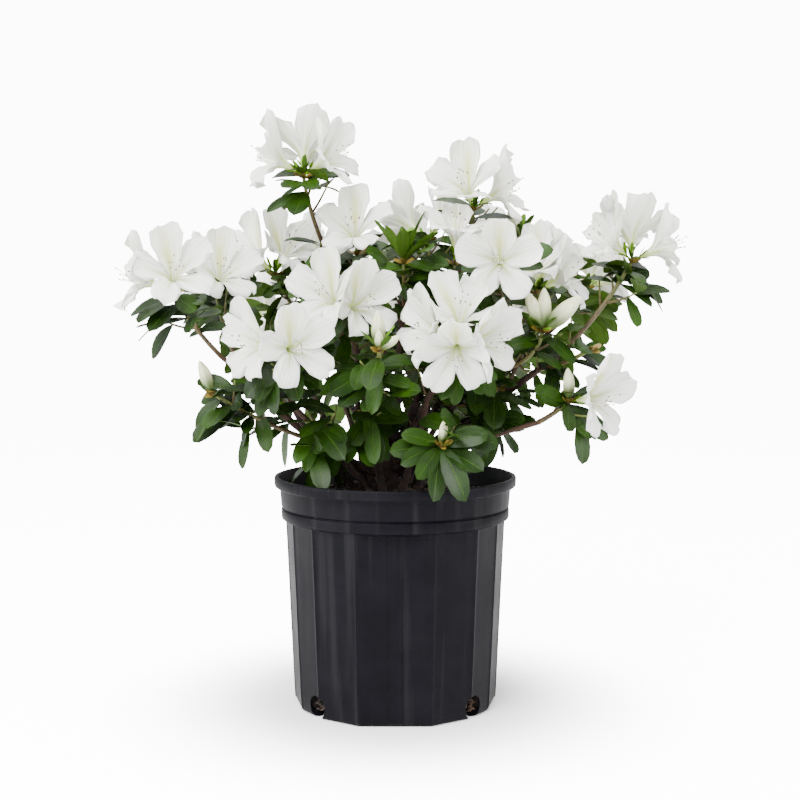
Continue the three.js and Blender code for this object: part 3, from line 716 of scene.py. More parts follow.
# %% Grow the shrub
MODEL_SEED, FINE_SEED, INNER_SEED = 101, 1101, 5001
for index, shoot in enumerate(shoots):
    leaves, twigs = grow(shoot, MODEL_SEED + index)
    finer_leaves, finer_twigs = grow_finer(shoot, FINE_SEED + index)
    kept = [pair for pair in twigs + finer_twigs if twig_fits(pair[0], index)]
    shoot.twigs = [twig for twig, _ in kept]
    grown = leaves + finer_leaves + [leaf for _, on_twig in kept for leaf in on_twig]
    shoot.leaves = [leaf for leaf in grown if leaf_fits(leaf, index)]
for number, name in enumerate(LIMBS):
    for twig, twig_leaves in grow_inside(name, INNER_SEED + number):
        nearest = int(owner[np.linalg.norm(all_sites - twig.end, axis=1).argmin()])
        if twig_fits(twig, nearest):
            shoots[nearest].twigs.append(twig)
            shoots[nearest].leaves += [leaf for leaf in twig_leaves if leaf_fits(leaf, nearest)]
print(sum(len(s.leaves) for s in shoots), "leaves,", sum(len(s.twigs) for s in shoots), "twigs")

# %% [markdown]
# Most finishes share two effects.
# Mottle is the cloudy change of tone that plastic, bark and leaves all have. Ribs are the veins of a
# leaf or a petal: a line down its middle and slanting lines off it, read from the piece's UV map.
# Each effect is a node group with named sockets, so a gardener's eye can tune it per material.

# %% More helpers for finishes
def blend_colors(tree, share, low, high):
    """The colour between two others. Sockets 0, 6 and 7 of a colour Mix are its factor, A and B."""
    return add(tree, "ShaderNodeMix", {0: share, 6: low, 7: high}, data_type="RGBA").outputs[2]


def fades(tree, value, low, high):
    """1 below low, 0 above high, and a smooth step between."""
    return maths(tree, "SUBTRACT", 1.0, soften(tree, value, low, high))


def noise_node(tree, place, scale, detail, stretch=None):
    """Cloudy noise, drawn out along the axes where the stretch is small."""
    if stretch:
        place = add(tree, "ShaderNodeMapping", {"Vector": place, "Scale": stretch}).outputs[0]
    feeds = {"Vector": place, "Scale": scale, "Detail": detail}
    return add(tree, "ShaderNodeTexNoise", feeds).outputs["Fac"]


def growth_map(tree):
    return add(tree, "ShaderNodeUVMap", uv_map="growth").outputs["UV"]


def bump(tree, shader, height, distance, strength=1.0):
    feeds = {"Height": height, "Distance": distance * MM, "Strength": strength}
    tree.links.new(add(tree, "ShaderNodeBump", feeds).outputs["Normal"], shader.inputs["Normal"])


def new_group(name, takes, gives):
    """A node group from its labelled inputs, each with its kind and first value, and its outputs."""
    tree = bpy.data.node_groups.new(name, "ShaderNodeTree")
    for label, kind, value in takes:
        socket = tree.interface.new_socket(label, in_out="INPUT", socket_type=kind)
        if value is not None:
            socket.default_value = value
    for label, kind in gives:
        tree.interface.new_socket(label, in_out="OUTPUT", socket_type=kind)
    return tree, tree.nodes.new("NodeGroupInput").outputs, tree.nodes.new("NodeGroupOutput").inputs


def use_group(tree, group, feeds):
    return add(tree, "ShaderNodeGroup", feeds, node_tree=group).outputs


# %% The mottle group
mottle_group, taken, given = new_group(
    "mottle",
    [
        ("Place", "NodeSocketVector", None),
        ("Scale", "NodeSocketFloat", 60.0),
        ("Low", "NodeSocketColor", None),
        ("High", "NodeSocketColor", None),
    ],
    [("Color", "NodeSocketColor"), ("Mask", "NodeSocketFloat")],
)
clouds = noise_node(mottle_group, taken["Place"], taken["Scale"], 5.0)
cloud_mask = soften(mottle_group, clouds, 0.3, 0.7)
mottle_group.links.new(cloud_mask, given["Mask"])
cloud_color = blend_colors(mottle_group, cloud_mask, taken["Low"], taken["High"])
mottle_group.links.new(cloud_color, given["Color"])
print("group", mottle_group.name)

# %% The ribs group
ribs_group, taken, given = new_group(
    "ribs",
    [
        ("Map", "NodeSocketVector", None),
        ("Middle width", "NodeSocketFloat", 0.06),
        ("Side count", "NodeSocketFloat", 8.0),
        ("Slant", "NodeSocketFloat", 0.8),
    ],
    [("Middle", "NodeSocketFloat"), ("Sides", "NodeSocketFloat")],
)
split = add(ribs_group, "ShaderNodeSeparateXYZ", {0: taken["Map"]})
aside_middle = maths(ribs_group, "ABSOLUTE", maths(ribs_group, "SUBTRACT", split.outputs["X"], 0.5))
middle_share = maths(ribs_group, "DIVIDE", aside_middle, taken["Middle width"])
ribs_group.links.new(fades(ribs_group, middle_share, 0.3, 1.0), given["Middle"])
slope = maths(ribs_group, "MULTIPLY", aside_middle, taken["Slant"])
slanted = maths(ribs_group, "SUBTRACT", split.outputs["Y"], slope)
turns = maths(ribs_group, "MULTIPLY", slanted, taken["Side count"])
wave = maths(ribs_group, "SINE", maths(ribs_group, "MULTIPLY", turns, 2 * math.pi))
ribs_group.links.new(soften(ribs_group, wave, 0.55, 1.0), given["Sides"])
print("group", ribs_group.name)

# %% [markdown]
# A leaf's upper side is dark and waxy and its under side pale and dull, so the two sides of the
# pillow take different finishes. A pale rib runs down the middle, and new leaves are a bright green.
# The colours are plain ones placed by the growth map, so that they hold on any joined piece.

# %% Finishes of the leaves
LEAF_DARK, LEAF_MID = (0.003, 0.012, 0.0002, 1), (0.0165, 0.05, 0.0005, 1)
LEAF_RIB = (0.036, 0.088, 0.003, 1)
UNDER_DARK, UNDER_PALE = (0.026, 0.062, 0.003, 1), (0.045, 0.095, 0.006, 1)
UNDER_RIB = (0.1, 0.18, 0.045, 1)
YOUNG_DARK, YOUNG_PALE = (0.06, 0.17, 0.001, 1), (0.14, 0.3, 0.003, 1)
YOUNG_RIB = (0.16, 0.3, 0.035, 1)
LEAF_GLOSS, WAX_ROUGHNESS = 0.13, 0.25
MIDRIB_SHARE, SIDE_GROOVE = 0.5, 0.35
GROOVE_DEPTH = 0.35


def leaf_finish(name, low, high, rib, roughness, coat, side_strength):
    """A mottled leaf with ribs of another colour, which lie in grooves."""
    wax = dict(Coat_Weight=coat, Coat_Roughness=WAX_ROUGHNESS, Specular_IOR_Level=LEAF_GLOSS)
    made, tree, shader = plain_finish(name, roughness, **wax)
    tone = use_group(tree, mottle_group, {"Place": own_place(tree), "Scale": 14, "Low": low, "High": high})
    feeds = {"Map": growth_map(tree), "Middle width": 0.034, "Side count": 9, "Slant": 1.1}
    ribs = use_group(tree, ribs_group, feeds)
    sides = maths(tree, "MULTIPLY", ribs["Sides"], side_strength)
    veined = blend_colors(tree, sides, tone["Color"], rib)
    ribbed = blend_colors(tree, maths(tree, "MULTIPLY", ribs["Middle"], MIDRIB_SHARE), veined, rib)
    tree.links.new(ribbed, shader.inputs["Base Color"])
    grooves = maths(tree, "ADD", ribs["Middle"], maths(tree, "MULTIPLY", ribs["Sides"], SIDE_GROOVE))
    bump(tree, shader, maths(tree, "MULTIPLY", grooves, -1.0), GROOVE_DEPTH)
    return made


leaf_top = leaf_finish("leaf_top", LEAF_DARK, LEAF_MID, LEAF_RIB, 0.42, 0.06, 0.1)
leaf_under = leaf_finish("leaf_under", UNDER_DARK, UNDER_PALE, UNDER_RIB, 0.65, 0.0, 0.2)
leaf_young = leaf_finish("leaf_young", YOUNG_DARK, YOUNG_PALE, YOUNG_RIB, 0.45, 0.08, 0.1)
print("leaf finishes:", leaf_top.name, leaf_under.name, leaf_young.name)

# %% [markdown]
# Petals are white with faint grey veins, with grey painted shade in their folds, and turn greenish in the
# throat. A painted glow in the tube stands in for the daylight that comes through its thin wall. One petal
# of each flower has the yellow-green freckles that lead a bee in.
# A closed bud is creamy, green at its foot and lined with green where its petals are rolled.

# %% Finishes of the flowers
# The petal's grey is partly vein colour and partly painted shade, laid into its folds.
PETAL_WHITE, PETAL_PAINTED_SHADE = (0.82, 0.82, 0.75, 1), (0.54, 0.55, 0.47, 1)
THROAT_GREEN, BLOTCH_GREEN = (0.4, 0.5, 0.1, 1), (0.5, 0.54, 0.06, 1)
# The tube's glow colour and strength are painted light: emission that stands in for daylight coming through
# the tube's thin wall.
DARK, PAINTED_TUBE_GLOW, PAINTED_TUBE_GLOW_STRENGTH = (0, 0, 0, 1), (0.34, 0.42, 0.1, 1), 0.8
SOFTNESS, SOFT_RADIUS, SOFT_DEPTH = 0.6, (1.0, 1.0, 0.9), 0.002
FOLD_STRETCH, SPECK_STRETCH, SPECK_SCALE = (9.0, 1.3, 1.0), (1.0, 2.2, 1.0), 17.0
VEIN_AND_SHADE_SHARE, THROAT_SHARE = 0.45, 0.75
BLOTCH_MIDDLE, BLOTCH_NARROW = 0.55, 1.4
BLOTCH_SHARE, SPECK_SHARE = 0.45, 0.25
BUD_WHITE, BUD_GREEN = (0.68, 0.69, 0.44, 1), (0.035, 0.075, 0.002, 1)
BUD_STRETCH, BUD_GREEN_SHARE = (16.0, 1.6, 1.0), 0.94
FILAMENT_WHITE, ANTHER_BROWN = (0.8, 0.8, 0.68, 1), (0.09, 0.055, 0.028, 1)
SCALE_GOLD = (0.17, 0.12, 0.014, 1)


def blotch(tree, place, middle, along):
    """How strongly the freckled mark shows: a soft zone past the throat, with specks in it."""
    off_middle = maths(tree, "ABSOLUTE", maths(tree, "SUBTRACT", along, BLOTCH_MIDDLE))
    zone = maths(tree, "ADD", maths(tree, "MULTIPLY", middle, BLOTCH_NARROW), off_middle)
    zone = fades(tree, zone, 0.05, 0.6)
    speck_place = add(tree, "ShaderNodeMapping", {"Vector": place, "Scale": SPECK_STRETCH}).outputs[0]
    dots = add(tree, "ShaderNodeTexVoronoi", {"Vector": speck_place, "Scale": SPECK_SCALE})
    specks = maths(tree, "MULTIPLY", fades(tree, dots.outputs["Distance"], 0.2, 0.42), SPECK_SHARE)
    return maths(tree, "MULTIPLY", zone, maths(tree, "ADD", specks, BLOTCH_SHARE))


def petal_finish(name, marked):
    soft = dict(Subsurface_Weight=SOFTNESS, Subsurface_Radius=SOFT_RADIUS, Subsurface_Scale=SOFT_DEPTH)
    made, tree, shader = plain_finish(name, 0.62, Emission_Strength=PAINTED_TUBE_GLOW_STRENGTH, **soft)
    place = growth_map(tree)
    # Painted shade: grey laid into noise folds, which also give the petal its bump.
    fold_shade_and_relief = soften(tree, noise_node(tree, place, 1.0, 3.0, FOLD_STRETCH), 0.42, 0.7)
    ribs = use_group(tree, ribs_group, {"Map": place, "Middle width": 0.07, "Side count": 7, "Slant": -0.9})
    veins = maths(tree, "ADD", maths(tree, "MULTIPLY", ribs["Middle"], 0.5), fold_shade_and_relief)
    color = blend_colors(tree, maths(tree, "MULTIPLY", veins, VEIN_AND_SHADE_SHARE), PETAL_WHITE, PETAL_PAINTED_SHADE)
    split = add(tree, "ShaderNodeSeparateXYZ", {0: place}).outputs
    middle = maths(tree, "ABSOLUTE", maths(tree, "SUBTRACT", split["X"], 0.5))
    throat = fades(tree, maths(tree, "ADD", split["Y"], middle), 0.3, 0.78)
    color = blend_colors(tree, maths(tree, "MULTIPLY", throat, THROAT_SHARE), color, THROAT_GREEN)
    if marked:
        color = blend_colors(tree, blotch(tree, place, middle, split["Y"]), color, BLOTCH_GREEN)
    tree.links.new(color, shader.inputs["Base Color"])
    # Painted glow: emission over the tube, in place of the light that comes through its wall.
    glow = blend_colors(tree, fades(tree, split["Y"], 0.12, 0.44), DARK, PAINTED_TUBE_GLOW)
    tree.links.new(glow, shader.inputs["Emission Color"])
    bump(tree, shader, veins, 1.0, 0.9)
    return made


def bud_finish():
    made, tree, shader = plain_finish("bud_petal", 0.55)
    place = growth_map(tree)
    height = add(tree, "ShaderNodeSeparateXYZ", {0: place}).outputs["Y"]
    foot = maths(tree, "MULTIPLY", fades(tree, height, 0.2, 0.78), BUD_GREEN_SHARE)
    lines = soften(tree, noise_node(tree, place, 1.0, 2.0, BUD_STRETCH), 0.46, 0.64)
    line_share = maths(tree, "MULTIPLY", lines, maths(tree, "SUBTRACT", 1.1, height))
    green_share = maths(tree, "MAXIMUM", foot, line_share)
    color = blend_colors(tree, green_share, BUD_WHITE, BUD_GREEN)
    tree.links.new(color, shader.inputs["Base Color"])
    return made


petal_plain = petal_finish("petal_plain", False)
petal_marked = petal_finish("petal_marked", True)
filament, _, _ = plain_finish("filament", 0.5, Base_Color=FILAMENT_WHITE)
anther, _, _ = plain_finish("anther", 0.7, Base_Color=ANTHER_BROWN)
bud_scale, _, _ = plain_finish("bud_scale", 0.55, Base_Color=SCALE_GOLD)
bud_petal = bud_finish()
print("flower finishes:", petal_plain.name, petal_marked.name, bud_petal.name)

# %% [markdown]
# The wood is cloudy bark with a long grain. Old bark is dark red-brown and rough, and a young stem
# turns from brown at its foot to olive at its tip.

# %% Finishes of the wood
BARK_DARK, BARK_PALE, BARK_TIP = (0.009, 0.004, 0.003, 1), (0.032, 0.014, 0.009, 1), (0.045, 0.02, 0.009, 1)
SHOOT_DARK, SHOOT_PALE, SHOOT_TIP = (0.04, 0.023, 0.006, 1), (0.085, 0.055, 0.012, 1), (0.1, 0.13, 0.018, 1)
GRAIN_STRETCH, GRAIN_SCALE = (1.0, 1.0, 0.3), 420.0
TIP_SHARE = 0.8


def bark_finish(name, low, high, tip, roughness, relief):
    """Cloudy bark that turns into the colour of its tip along the growth map."""
    made, tree, shader = plain_finish(name, roughness)
    place = own_place(tree)
    tone = use_group(tree, mottle_group, {"Place": place, "Scale": 190, "Low": low, "High": high})
    along = add(tree, "ShaderNodeSeparateXYZ", {0: growth_map(tree)}).outputs["Y"]
    share = maths(tree, "MULTIPLY", soften(tree, along, 0.3, 1.0), TIP_SHARE)
    tree.links.new(blend_colors(tree, share, tone["Color"], tip), shader.inputs["Base Color"])
    bump(tree, shader, noise_node(tree, place, GRAIN_SCALE, 6.0, GRAIN_STRETCH), relief)
    return made


bark = bark_finish("bark", BARK_DARK, BARK_PALE, BARK_TIP, 0.85, 1.6)
shoot_bark = bark_finish("shoot_bark", SHOOT_DARK, SHOOT_PALE, SHOOT_TIP, 0.6, 0.5)
print(len(bpy.data.materials), "materials")

# %% [markdown]
# The crown is joined into five blocks, as a florist would divide it: left, centre, right and two at
# the back. In each block the leaves are one piece, the petals another, and so on, so a block stays
# small enough to handle, and it stands for the solid masses that it covers.

# %% The blocks of the crown
BLOCKS = {
    "left": (
        "truss_top_left", "truss_left", "truss_left_rear", "truss_behind_left", "truss_front_left",
        "buds_left_low", "leafy_left_low",
    ),
    "centre": (
        "truss_centre_left", "truss_upper_centre", "leafy_centre", "buds_front", "truss_front",
        "buds_front_low", "leafy_centre_low",
    ),
    "right": (
        "truss_top_right", "truss_behind_top", "truss_upper_right", "truss_right_centre",
        "buds_upper_right", "truss_right_inner", "buds_right", "truss_right", "truss_right_low",
        "leafy_right_inner", "leafy_right_low",
    ),
    "back_left": (
        "truss_back_left", "truss_back_left_low", "truss_back_upper_left", "truss_back_centre",
        "truss_back_low",
    ),
    "back_right": ("truss_back_right_low", "truss_back_upper_right", "truss_back_right"),
}
shoot_of = {shoot.name: shoot for shoot in shoots}
blocks = {block: [shoot_of[name] for name in names] for block, names in BLOCKS.items()}
assert sum(len(names) for names in blocks.values()) == len(shoots)
print({block: len(members) for block, members in blocks.items()})

# %% [markdown]
# Hundreds of leaves, petals and twigs are bent from a few templates, as a florist cuts silk flowers.
# A template is made once with mesh operators: a flat pillow of quads for leaf or petal, and later a
# straight rod for a stem and a ball for a bud. Copying a template's arrays and bending them is far
# quicker than making hundreds of separate objects.

# %% Templates
WELD = 1e-4


class Template:
    """A small mesh as arrays, so that many bent copies can be heaped into one object."""

    def __init__(self, made):
        bmesh.ops.recalc_face_normals(made, faces=made.faces)
        made.verts.index_update()
        self.points = np.array([v.co for v in made.verts])
        self.corners = np.array([v.index for f in made.faces for v in f.verts])
        self.totals = np.array([len(f.verts) for f in made.faces])
        self.looks = np.array([f.material_index for f in made.faces])
        made.free()


def sheet_template(across, rows):
    """A closed pillow of two grids that share their edge. Rows are shares of its length."""
    along = len(rows) - 1
    made = bmesh.new()
    bmesh.ops.create_grid(made, x_segments=across, y_segments=along, size=1)
    inner = [v for v in made.verts if not v.is_boundary]
    copied = bmesh.ops.duplicate(made, geom=made.verts[:] + made.edges[:] + made.faces[:])["geom"]
    under = [g for g in copied if isinstance(g, bmesh.types.BMFace)]
    low = [v for v in copied if isinstance(v, bmesh.types.BMVert) and not v.is_boundary]
    for face in under:
        face.material_index = 1
    bmesh.ops.reverse_faces(made, faces=under)
    bmesh.ops.translate(made, verts=inner, vec=(0, 0, 1))
    bmesh.ops.translate(made, verts=low, vec=(0, 0, -1))
    bmesh.ops.remove_doubles(made, verts=made.verts, dist=WELD)
    done = Template(made)
    done.column = np.rint((done.points[:, 0] + 1) / 2 * across).astype(int)
    done.row = np.rint((done.points[:, 1] + 1) / 2 * along).astype(int)
    done.side = done.points[:, 2]
    done.across = np.linspace(-1, 1, across + 1)
    done.along = np.array(rows, float)
    done.map = np.stack([done.column / across, done.along[done.row]], axis=1)
    return done


def lay_sheet(template, surface, thickness):
    """A sheet template laid on a grid of points, thick in the middle and sharp at the edge."""
    across, along = np.gradient(surface, axis=0), np.gradient(surface, axis=1)
    normal = np.cross(across, along)
    normal /= np.linalg.norm(normal, axis=-1, keepdims=True) + 1e-9
    picked = surface[template.column, template.row]
    return picked + normal[template.column, template.row] * (template.side * thickness / 2)[:, None]


print("sheets weld at", WELD, "mm")

# %% [markdown]
# A heap gathers the bent copies and becomes one joined mesh.
# Its map tells each finish where on its leaf, petal or stem a point lies: across in X, along in Y.

# %% A heap of bent copies
RIM_ANGLE = 120


class Heap:
    """Bent copies of templates, in millimetres, that become one joined mesh."""

    def __init__(self):
        self.points, self.corners, self.totals, self.maps, self.looks = [], [], [], [], []
        self.count = 0

    def add(self, template, points, look=0):
        self.points.append(points)
        self.corners.append(template.corners + self.count)
        self.totals.append(template.totals)
        self.maps.append(template.map[template.corners])
        self.looks.append(template.looks + look)
        self.count += len(points)

    def finish(self, name, materials):
        points, corners = np.concatenate(self.points) * MM, np.concatenate(self.corners)
        totals = np.concatenate(self.totals)
        mesh = bpy.data.meshes.new(name)
        mesh.vertices.add(len(points))
        mesh.vertices.foreach_set("co", points.ravel())
        mesh.loops.add(len(corners))
        mesh.loops.foreach_set("vertex_index", corners)
        mesh.polygons.add(len(totals))
        mesh.polygons.foreach_set("loop_start", np.cumsum(totals) - totals)
        mesh.polygons.foreach_set("material_index", np.concatenate(self.looks))
        mesh.update(calc_edges=True)
        mesh.uv_layers.new(name="growth").data.foreach_set("uv", np.concatenate(self.maps).ravel())
        mesh.shade_smooth()
        mesh.set_sharp_from_angle(angle=math.radians(RIM_ANGLE))
        for material in materials:
            mesh.materials.append(material)
        made = bpy.data.objects.new(name, mesh)
        bpy.context.collection.objects.link(made)
        triangles = int((totals - 2).sum())
        print(name, len(totals), "faces,", triangles, "triangles")
        return made


def dress(piece, nodes=()):
    """Hides the nodes that a finished piece stands for and puts the piece on the part's one body."""
    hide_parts(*nodes)
    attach(piece, "root")


print("edges sharper than", RIM_ANGLE, "degrees stay crisp")

# %% [markdown]
# A leaf is a strip of tissue stiffened by a shallow fold along its midrib. It narrows to a short
# stalk, is widest past its middle and bows down towards its tip. A young leaf is narrower and its
# fold is deeper.
# The template's rows and columns are laid on that surface, so every leaf costs the same few faces.

# %% Leaves
LEAF_THICKNESS = 0.5
STALK_HALF = 0.6
EDGE_RISE, EDGE_FALL, EDGE_PEAK = 0.85, 0.5, 0.41
LEAF_FOLD, FOLD_ROUND, TIP_CURL = 0.2, 0.25, 0.05
YOUNG_FOLD, YOUNG_NARROW = 1.8, 0.62
EDGE_WAVE, WAVE_ALONG, WAVE_ACROSS = 0.012, 7, 2.4
LEAF_SWING, SWING_STEP = 18, 2.4
LEAF_ROWS = (0, 0.07, 0.22, 0.42, 0.62, 0.8, 0.93, 1)
leaf_template = sheet_template(4, LEAF_ROWS)
EDGE_SHAPE = leaf_template.along ** EDGE_RISE * (1 - leaf_template.along) ** EDGE_FALL / EDGE_PEAK


def leaf_points(leaf, number):
    """The bent pillow of one leaf. Its number varies how its edge waves."""
    length, along = leaf["length"], leaf["along"]
    side = turned(leaf["side"], along, LEAF_SWING * math.sin(SWING_STEP * number))
    face = np.cross(side, along)
    u = leaf_template.across[:, None, None]
    v = leaf_template.along[None, :, None]
    narrow = YOUNG_NARROW if leaf["young"] else 1.0
    half = np.maximum(EDGE_SHAPE * length * LEAF_WIDTH / 2 * narrow, STALK_HALF)[None, :, None]
    fold = LEAF_FOLD * (YOUNG_FOLD if leaf["young"] else 1.0)
    wave = EDGE_WAVE * length * np.sin(WAVE_ALONG * v + WAVE_ACROSS * u + number) * v * np.abs(u)
    lift = np.abs(u) * half * fold - FOLD_ROUND * half * u ** 2 * fold + wave
    droop = leaf["droop"] * length * v ** 2
    surface = leaf["root"] + along * length * v + side * u * half + face * lift
    surface = surface - np.array([0, 0, 1.0]) * droop - face * TIP_CURL * length * v ** 3
    return lay_sheet(leaf_template, surface, LEAF_THICKNESS)


GROWN_LOOK, YOUNG_LOOK = 0, 2
for block, members in blocks.items():
    heap = Heap()
    for shoot in members:
        for number, leaf in enumerate(shoot.leaves):
            heap.add(leaf_template, leaf_points(leaf, number), YOUNG_LOOK if leaf["young"] else GROWN_LOOK)
    piece = heap.finish("leaves_" + block, [leaf_top, leaf_under, leaf_young, leaf_under])
    dress(piece, [shoot.name for shoot in members])

# %% [markdown]
# An azalea flower is one funnel that splits into five broad lobes, and each lobe's edges ride over
# the next one's. A petal here starts as a fifth of the narrow tube, opens into the funnel's throat
# and flattens into a ruffled lobe. The upper petals stand up and the lower ones fall back.
# Where two flowers press together, their petals bend back on the plane between them, as soft tissue
# does.

# %% The shape of a petal
PETAL_ROWS = np.array([0, 0.12, 0.25, 0.38, 0.5, 0.63, 0.76, 0.88, 1])
PETAL_RADII = np.array([1.7, 3.2, 5.2, 8.5, 14.5, 22.5, 30.5, 37.5, 42.5])
PETAL_HEIGHTS = np.array([9, 17, 23.5, 28.5, 33.5, 39, 43.5, 46, 46.5])
PETAL_HALVES = np.array([1.1, 2.1, 3.6, 6.4, 10.2, 15, 18.6, 18.8, 13.5])
PETAL_ARC = math.radians(37)
PETAL_THICKNESS = 0.5
petal_template = sheet_template(8, (0, 0.13, 0.26, 0.39, 0.5, 0.6, 0.69, 0.78, 0.86, 0.93, 1))
# The petal's sides and corners fall short of its middle, and the tube fades into the flat lobe.
SIDE_SHORT, SIDE_CURVE, CORNER_SHORT = 0.23, 2.2, 0.06
TUBE_SHARE, TUBE_FADE, SIDE_BACK = 0.28, 0.25, 0.8
# Ranges of one petal's cup, size, tilt over its neighbour and bend.
CUPS, SIZES, TILTS, BENDS = (0.5, 4.5), (0.97, 1.05), (1.4, 2.0), (-4.0, 2.0)
PHASES = 6.3
# Each wave's height in millimetres, then how fast it runs across or along the petal.
ROLL, SIDE_WAVE, LIP, FRILL = (2.6, 4.4), (3.2, 15, 2), (1.8, 9), (1.2, 27)
GROOVE_HALF, GROOVE_DIP = 0.22, 1.6
NOTCH_HALF, NOTCH_DEPTH = 0.25, 1.6
LIP_WANDER, LIP_TURNS, LIP_PHASE = 0.9, 6.3, 2.3
UPPER_BEND, LOWER_BEND, UPPER_GROWTH = 16, 8, 0.14
UPPER_WIDTH, EDGE_PLAY, EDGE_PLAY_TURNS, CORNER_NARROW = 0.08, 0.06, 16, 0.2


def ruffles(u, v, phase):
    """A slow roll of the lobe, waves along its sides, and a ripple and a frill at its lip."""
    roll = ROLL[0] * np.sin(ROLL[1] * u + phase) * v ** 3
    sides = SIDE_WAVE[0] * np.sin(SIDE_WAVE[1] * v + SIDE_WAVE[2] * u + phase) * u ** 2 * v
    ripple = LIP[0] * np.sin(LIP[1] * u + 2 * phase)
    frill = FRILL[0] * np.sin(FRILL[1] * v + 3 * phase) * u ** 2
    return roll + sides + (ripple + frill) * v ** 4


def petal_surface(heart, axis, outward, lateral, upper, draw):
    """The grid of one petal. Upper is 1 for a flower's top petal, which stands up, and -1 for a low one."""
    u = petal_template.across[:, None]
    v = petal_template.along[None, :]
    corner = v ** 8 * u ** 4
    row = v * (1 - SIDE_SHORT * np.abs(u) ** SIDE_CURVE - CORNER_SHORT * corner)
    radius = np.interp(row, PETAL_ROWS, PETAL_RADII)
    height = np.interp(row, PETAL_ROWS, PETAL_HEIGHTS)
    half = np.interp(row, PETAL_ROWS, PETAL_HALVES)
    flat = np.clip((row - TUBE_SHARE) / TUBE_FADE, 0, 1)
    flat = flat * flat * (3 - 2 * flat)
    arc = u * PETAL_ARC
    aside_by = mix(radius * np.sin(arc), u * half, flat)
    out = mix(radius * np.cos(arc), radius - SIDE_BACK * half * u ** 2 * (1 - v), flat)
    phase, cup, size = PHASES * draw(), mix(*CUPS, draw()), mix(*SIZES, draw())
    tilt = mix(*TILTS, draw()) * u
    height = height + flat * (ruffles(u, v, phase) + tilt + cup * (u ** 2 - 0.4) * v)
    height = height - GROOVE_DIP * flat * np.exp(-((u / GROOVE_HALF) ** 2)) * (1 - v)
    bend = mix(*BENDS, draw()) + (UPPER_BEND if upper > 0 else LOWER_BEND) * upper
    size = size * (1 + UPPER_GROWTH * max(upper, 0))
    height = height + bend * v ** 3 * flat
    notch = NOTCH_DEPTH * np.exp(-((u / NOTCH_HALF) ** 2)) * v ** 8
    notch = notch + LIP_WANDER * np.sin(LIP_TURNS * u + LIP_PHASE * phase) * v ** 7
    play = EDGE_PLAY * np.sin(EDGE_PLAY_TURNS * v + phase)
    aside_by = aside_by * mix(1.0, 1.0 + UPPER_WIDTH * upper + play - CORNER_NARROW * corner, flat)
    out = np.where(flat > 0, mix(out, out * size, flat), out) - notch - np.maximum(bend, 0) * 0.5 * v ** 3
    return heart + axis * height[..., None] + outward * out[..., None] + lateral * aside_by[..., None]


print("a petal reaches", PETAL_RADII[-1], "mm from its flower's axis")

# %% Flowers make room for each other
RIVAL_REACH = 129
ROOM_GAP, ROOM_GIVE = 0.4, 0.92
all_hearts = np.array([shoot.heart for shoot in shoots])
all_centres = np.array([centre for shoot in shoots for centre in shoot.centres])


def rivals_of(shoot, centre):
    """The points that a flower's petals make room for: other flowers and other shoots' hearts."""
    points = np.concatenate([all_hearts[(all_hearts != shoot.heart).any(axis=1)], all_centres])
    apart = np.linalg.norm(points - centre, axis=1)
    return points[(apart > 1) & (apart < RIVAL_REACH)]


def make_room(surface, centre, rivals):
    """Bends what lies past the plane halfway to a rival back onto that plane."""
    for rival in rivals:
        apart = rival - centre
        reach = np.linalg.norm(apart)
        normal = apart / reach
        past = (surface - centre) @ normal - reach / 2 + ROOM_GAP
        surface = surface - normal * (np.maximum(past, 0) * ROOM_GIVE)[..., None]
    return surface


print(len(all_centres), "flowers make room within", RIVAL_REACH, "mm")

# %% Petals
PETALS = 5
BLOOM_SPIN = 17
LEVEL_LEAST = 0.3
PETAL_SEED = 2001
PLAIN_LOOK, MARKED_LOOK = 0, 2


def flower_frame(axis, index):
    across, over = square(axis)
    return turned(across, axis, BLOOM_SPIN * index), turned(over, axis, BLOOM_SPIN * index)


def add_petals(heap, shoot, index, draw):
    """The five petals of one flower. The one that stands most upright has the freckles."""
    axis, centre = shoot.blooms[index], shoot.centres[index]
    across, over = flower_frame(axis, index)
    rivals = rivals_of(shoot, centre)
    turns = [math.radians(360 / PETALS * k) for k in range(PETALS)]
    rays = [over * math.cos(turn) + across * math.sin(turn) for turn in turns]
    upright = max(range(PETALS), key=lambda k: rays[k][2])
    for k, turn in enumerate(turns):
        lateral = over * math.sin(turn) - across * math.cos(turn)
        upper = rays[k][2] / max(np.hypot(over[2], across[2]), LEVEL_LEAST)
        surface = petal_surface(shoot.heart, axis, rays[k], lateral, upper, draw)
        surface = make_room(surface, centre, rivals)
        points = lay_sheet(petal_template, surface, PETAL_THICKNESS)
        heap.add(petal_template, points, MARKED_LOOK if k == upright else PLAIN_LOOK)


for block, members in blocks.items():
    heap = Heap()
    for shoot in members:
        draw = seeded(PETAL_SEED + shoots.index(shoot))
        for index in range(len(shoot.blooms)):
            add_petals(heap, shoot, index, draw)
    piece = heap.finish("petals_" + block, [petal_plain, petal_plain, petal_marked, petal_plain])
    dress(piece)

# %% [markdown]
# Thin parts are rods and balls. A rod follows a curve with its rings square to it, so that it keeps
# its thickness where the curve bends. A ball is turned to an axis and stretched along it.

# %% Rods and balls
def rod_template(sides, steps):
    """A straight rod of radius 1 from z 0 to z 1, with steps + 1 rings."""
    made = bmesh.new()
    bmesh.ops.create_cone(made, cap_ends=True, segments=sides, radius1=1, radius2=1, depth=1)
    risers = [e for e in made.edges if abs(e.verts[0].co.z - e.verts[1].co.z) > 0.5]
    bmesh.ops.subdivide_edges(made, edges=risers, cuts=steps - 1)
    bmesh.ops.translate(made, verts=made.verts, vec=(0, 0, 0.5))
    done = Template(made)
    turn = np.arctan2(done.points[:, 1], done.points[:, 0]) / (2 * np.pi)
    done.map = np.stack([turn + 0.5, done.points[:, 2]], axis=1)
    return done


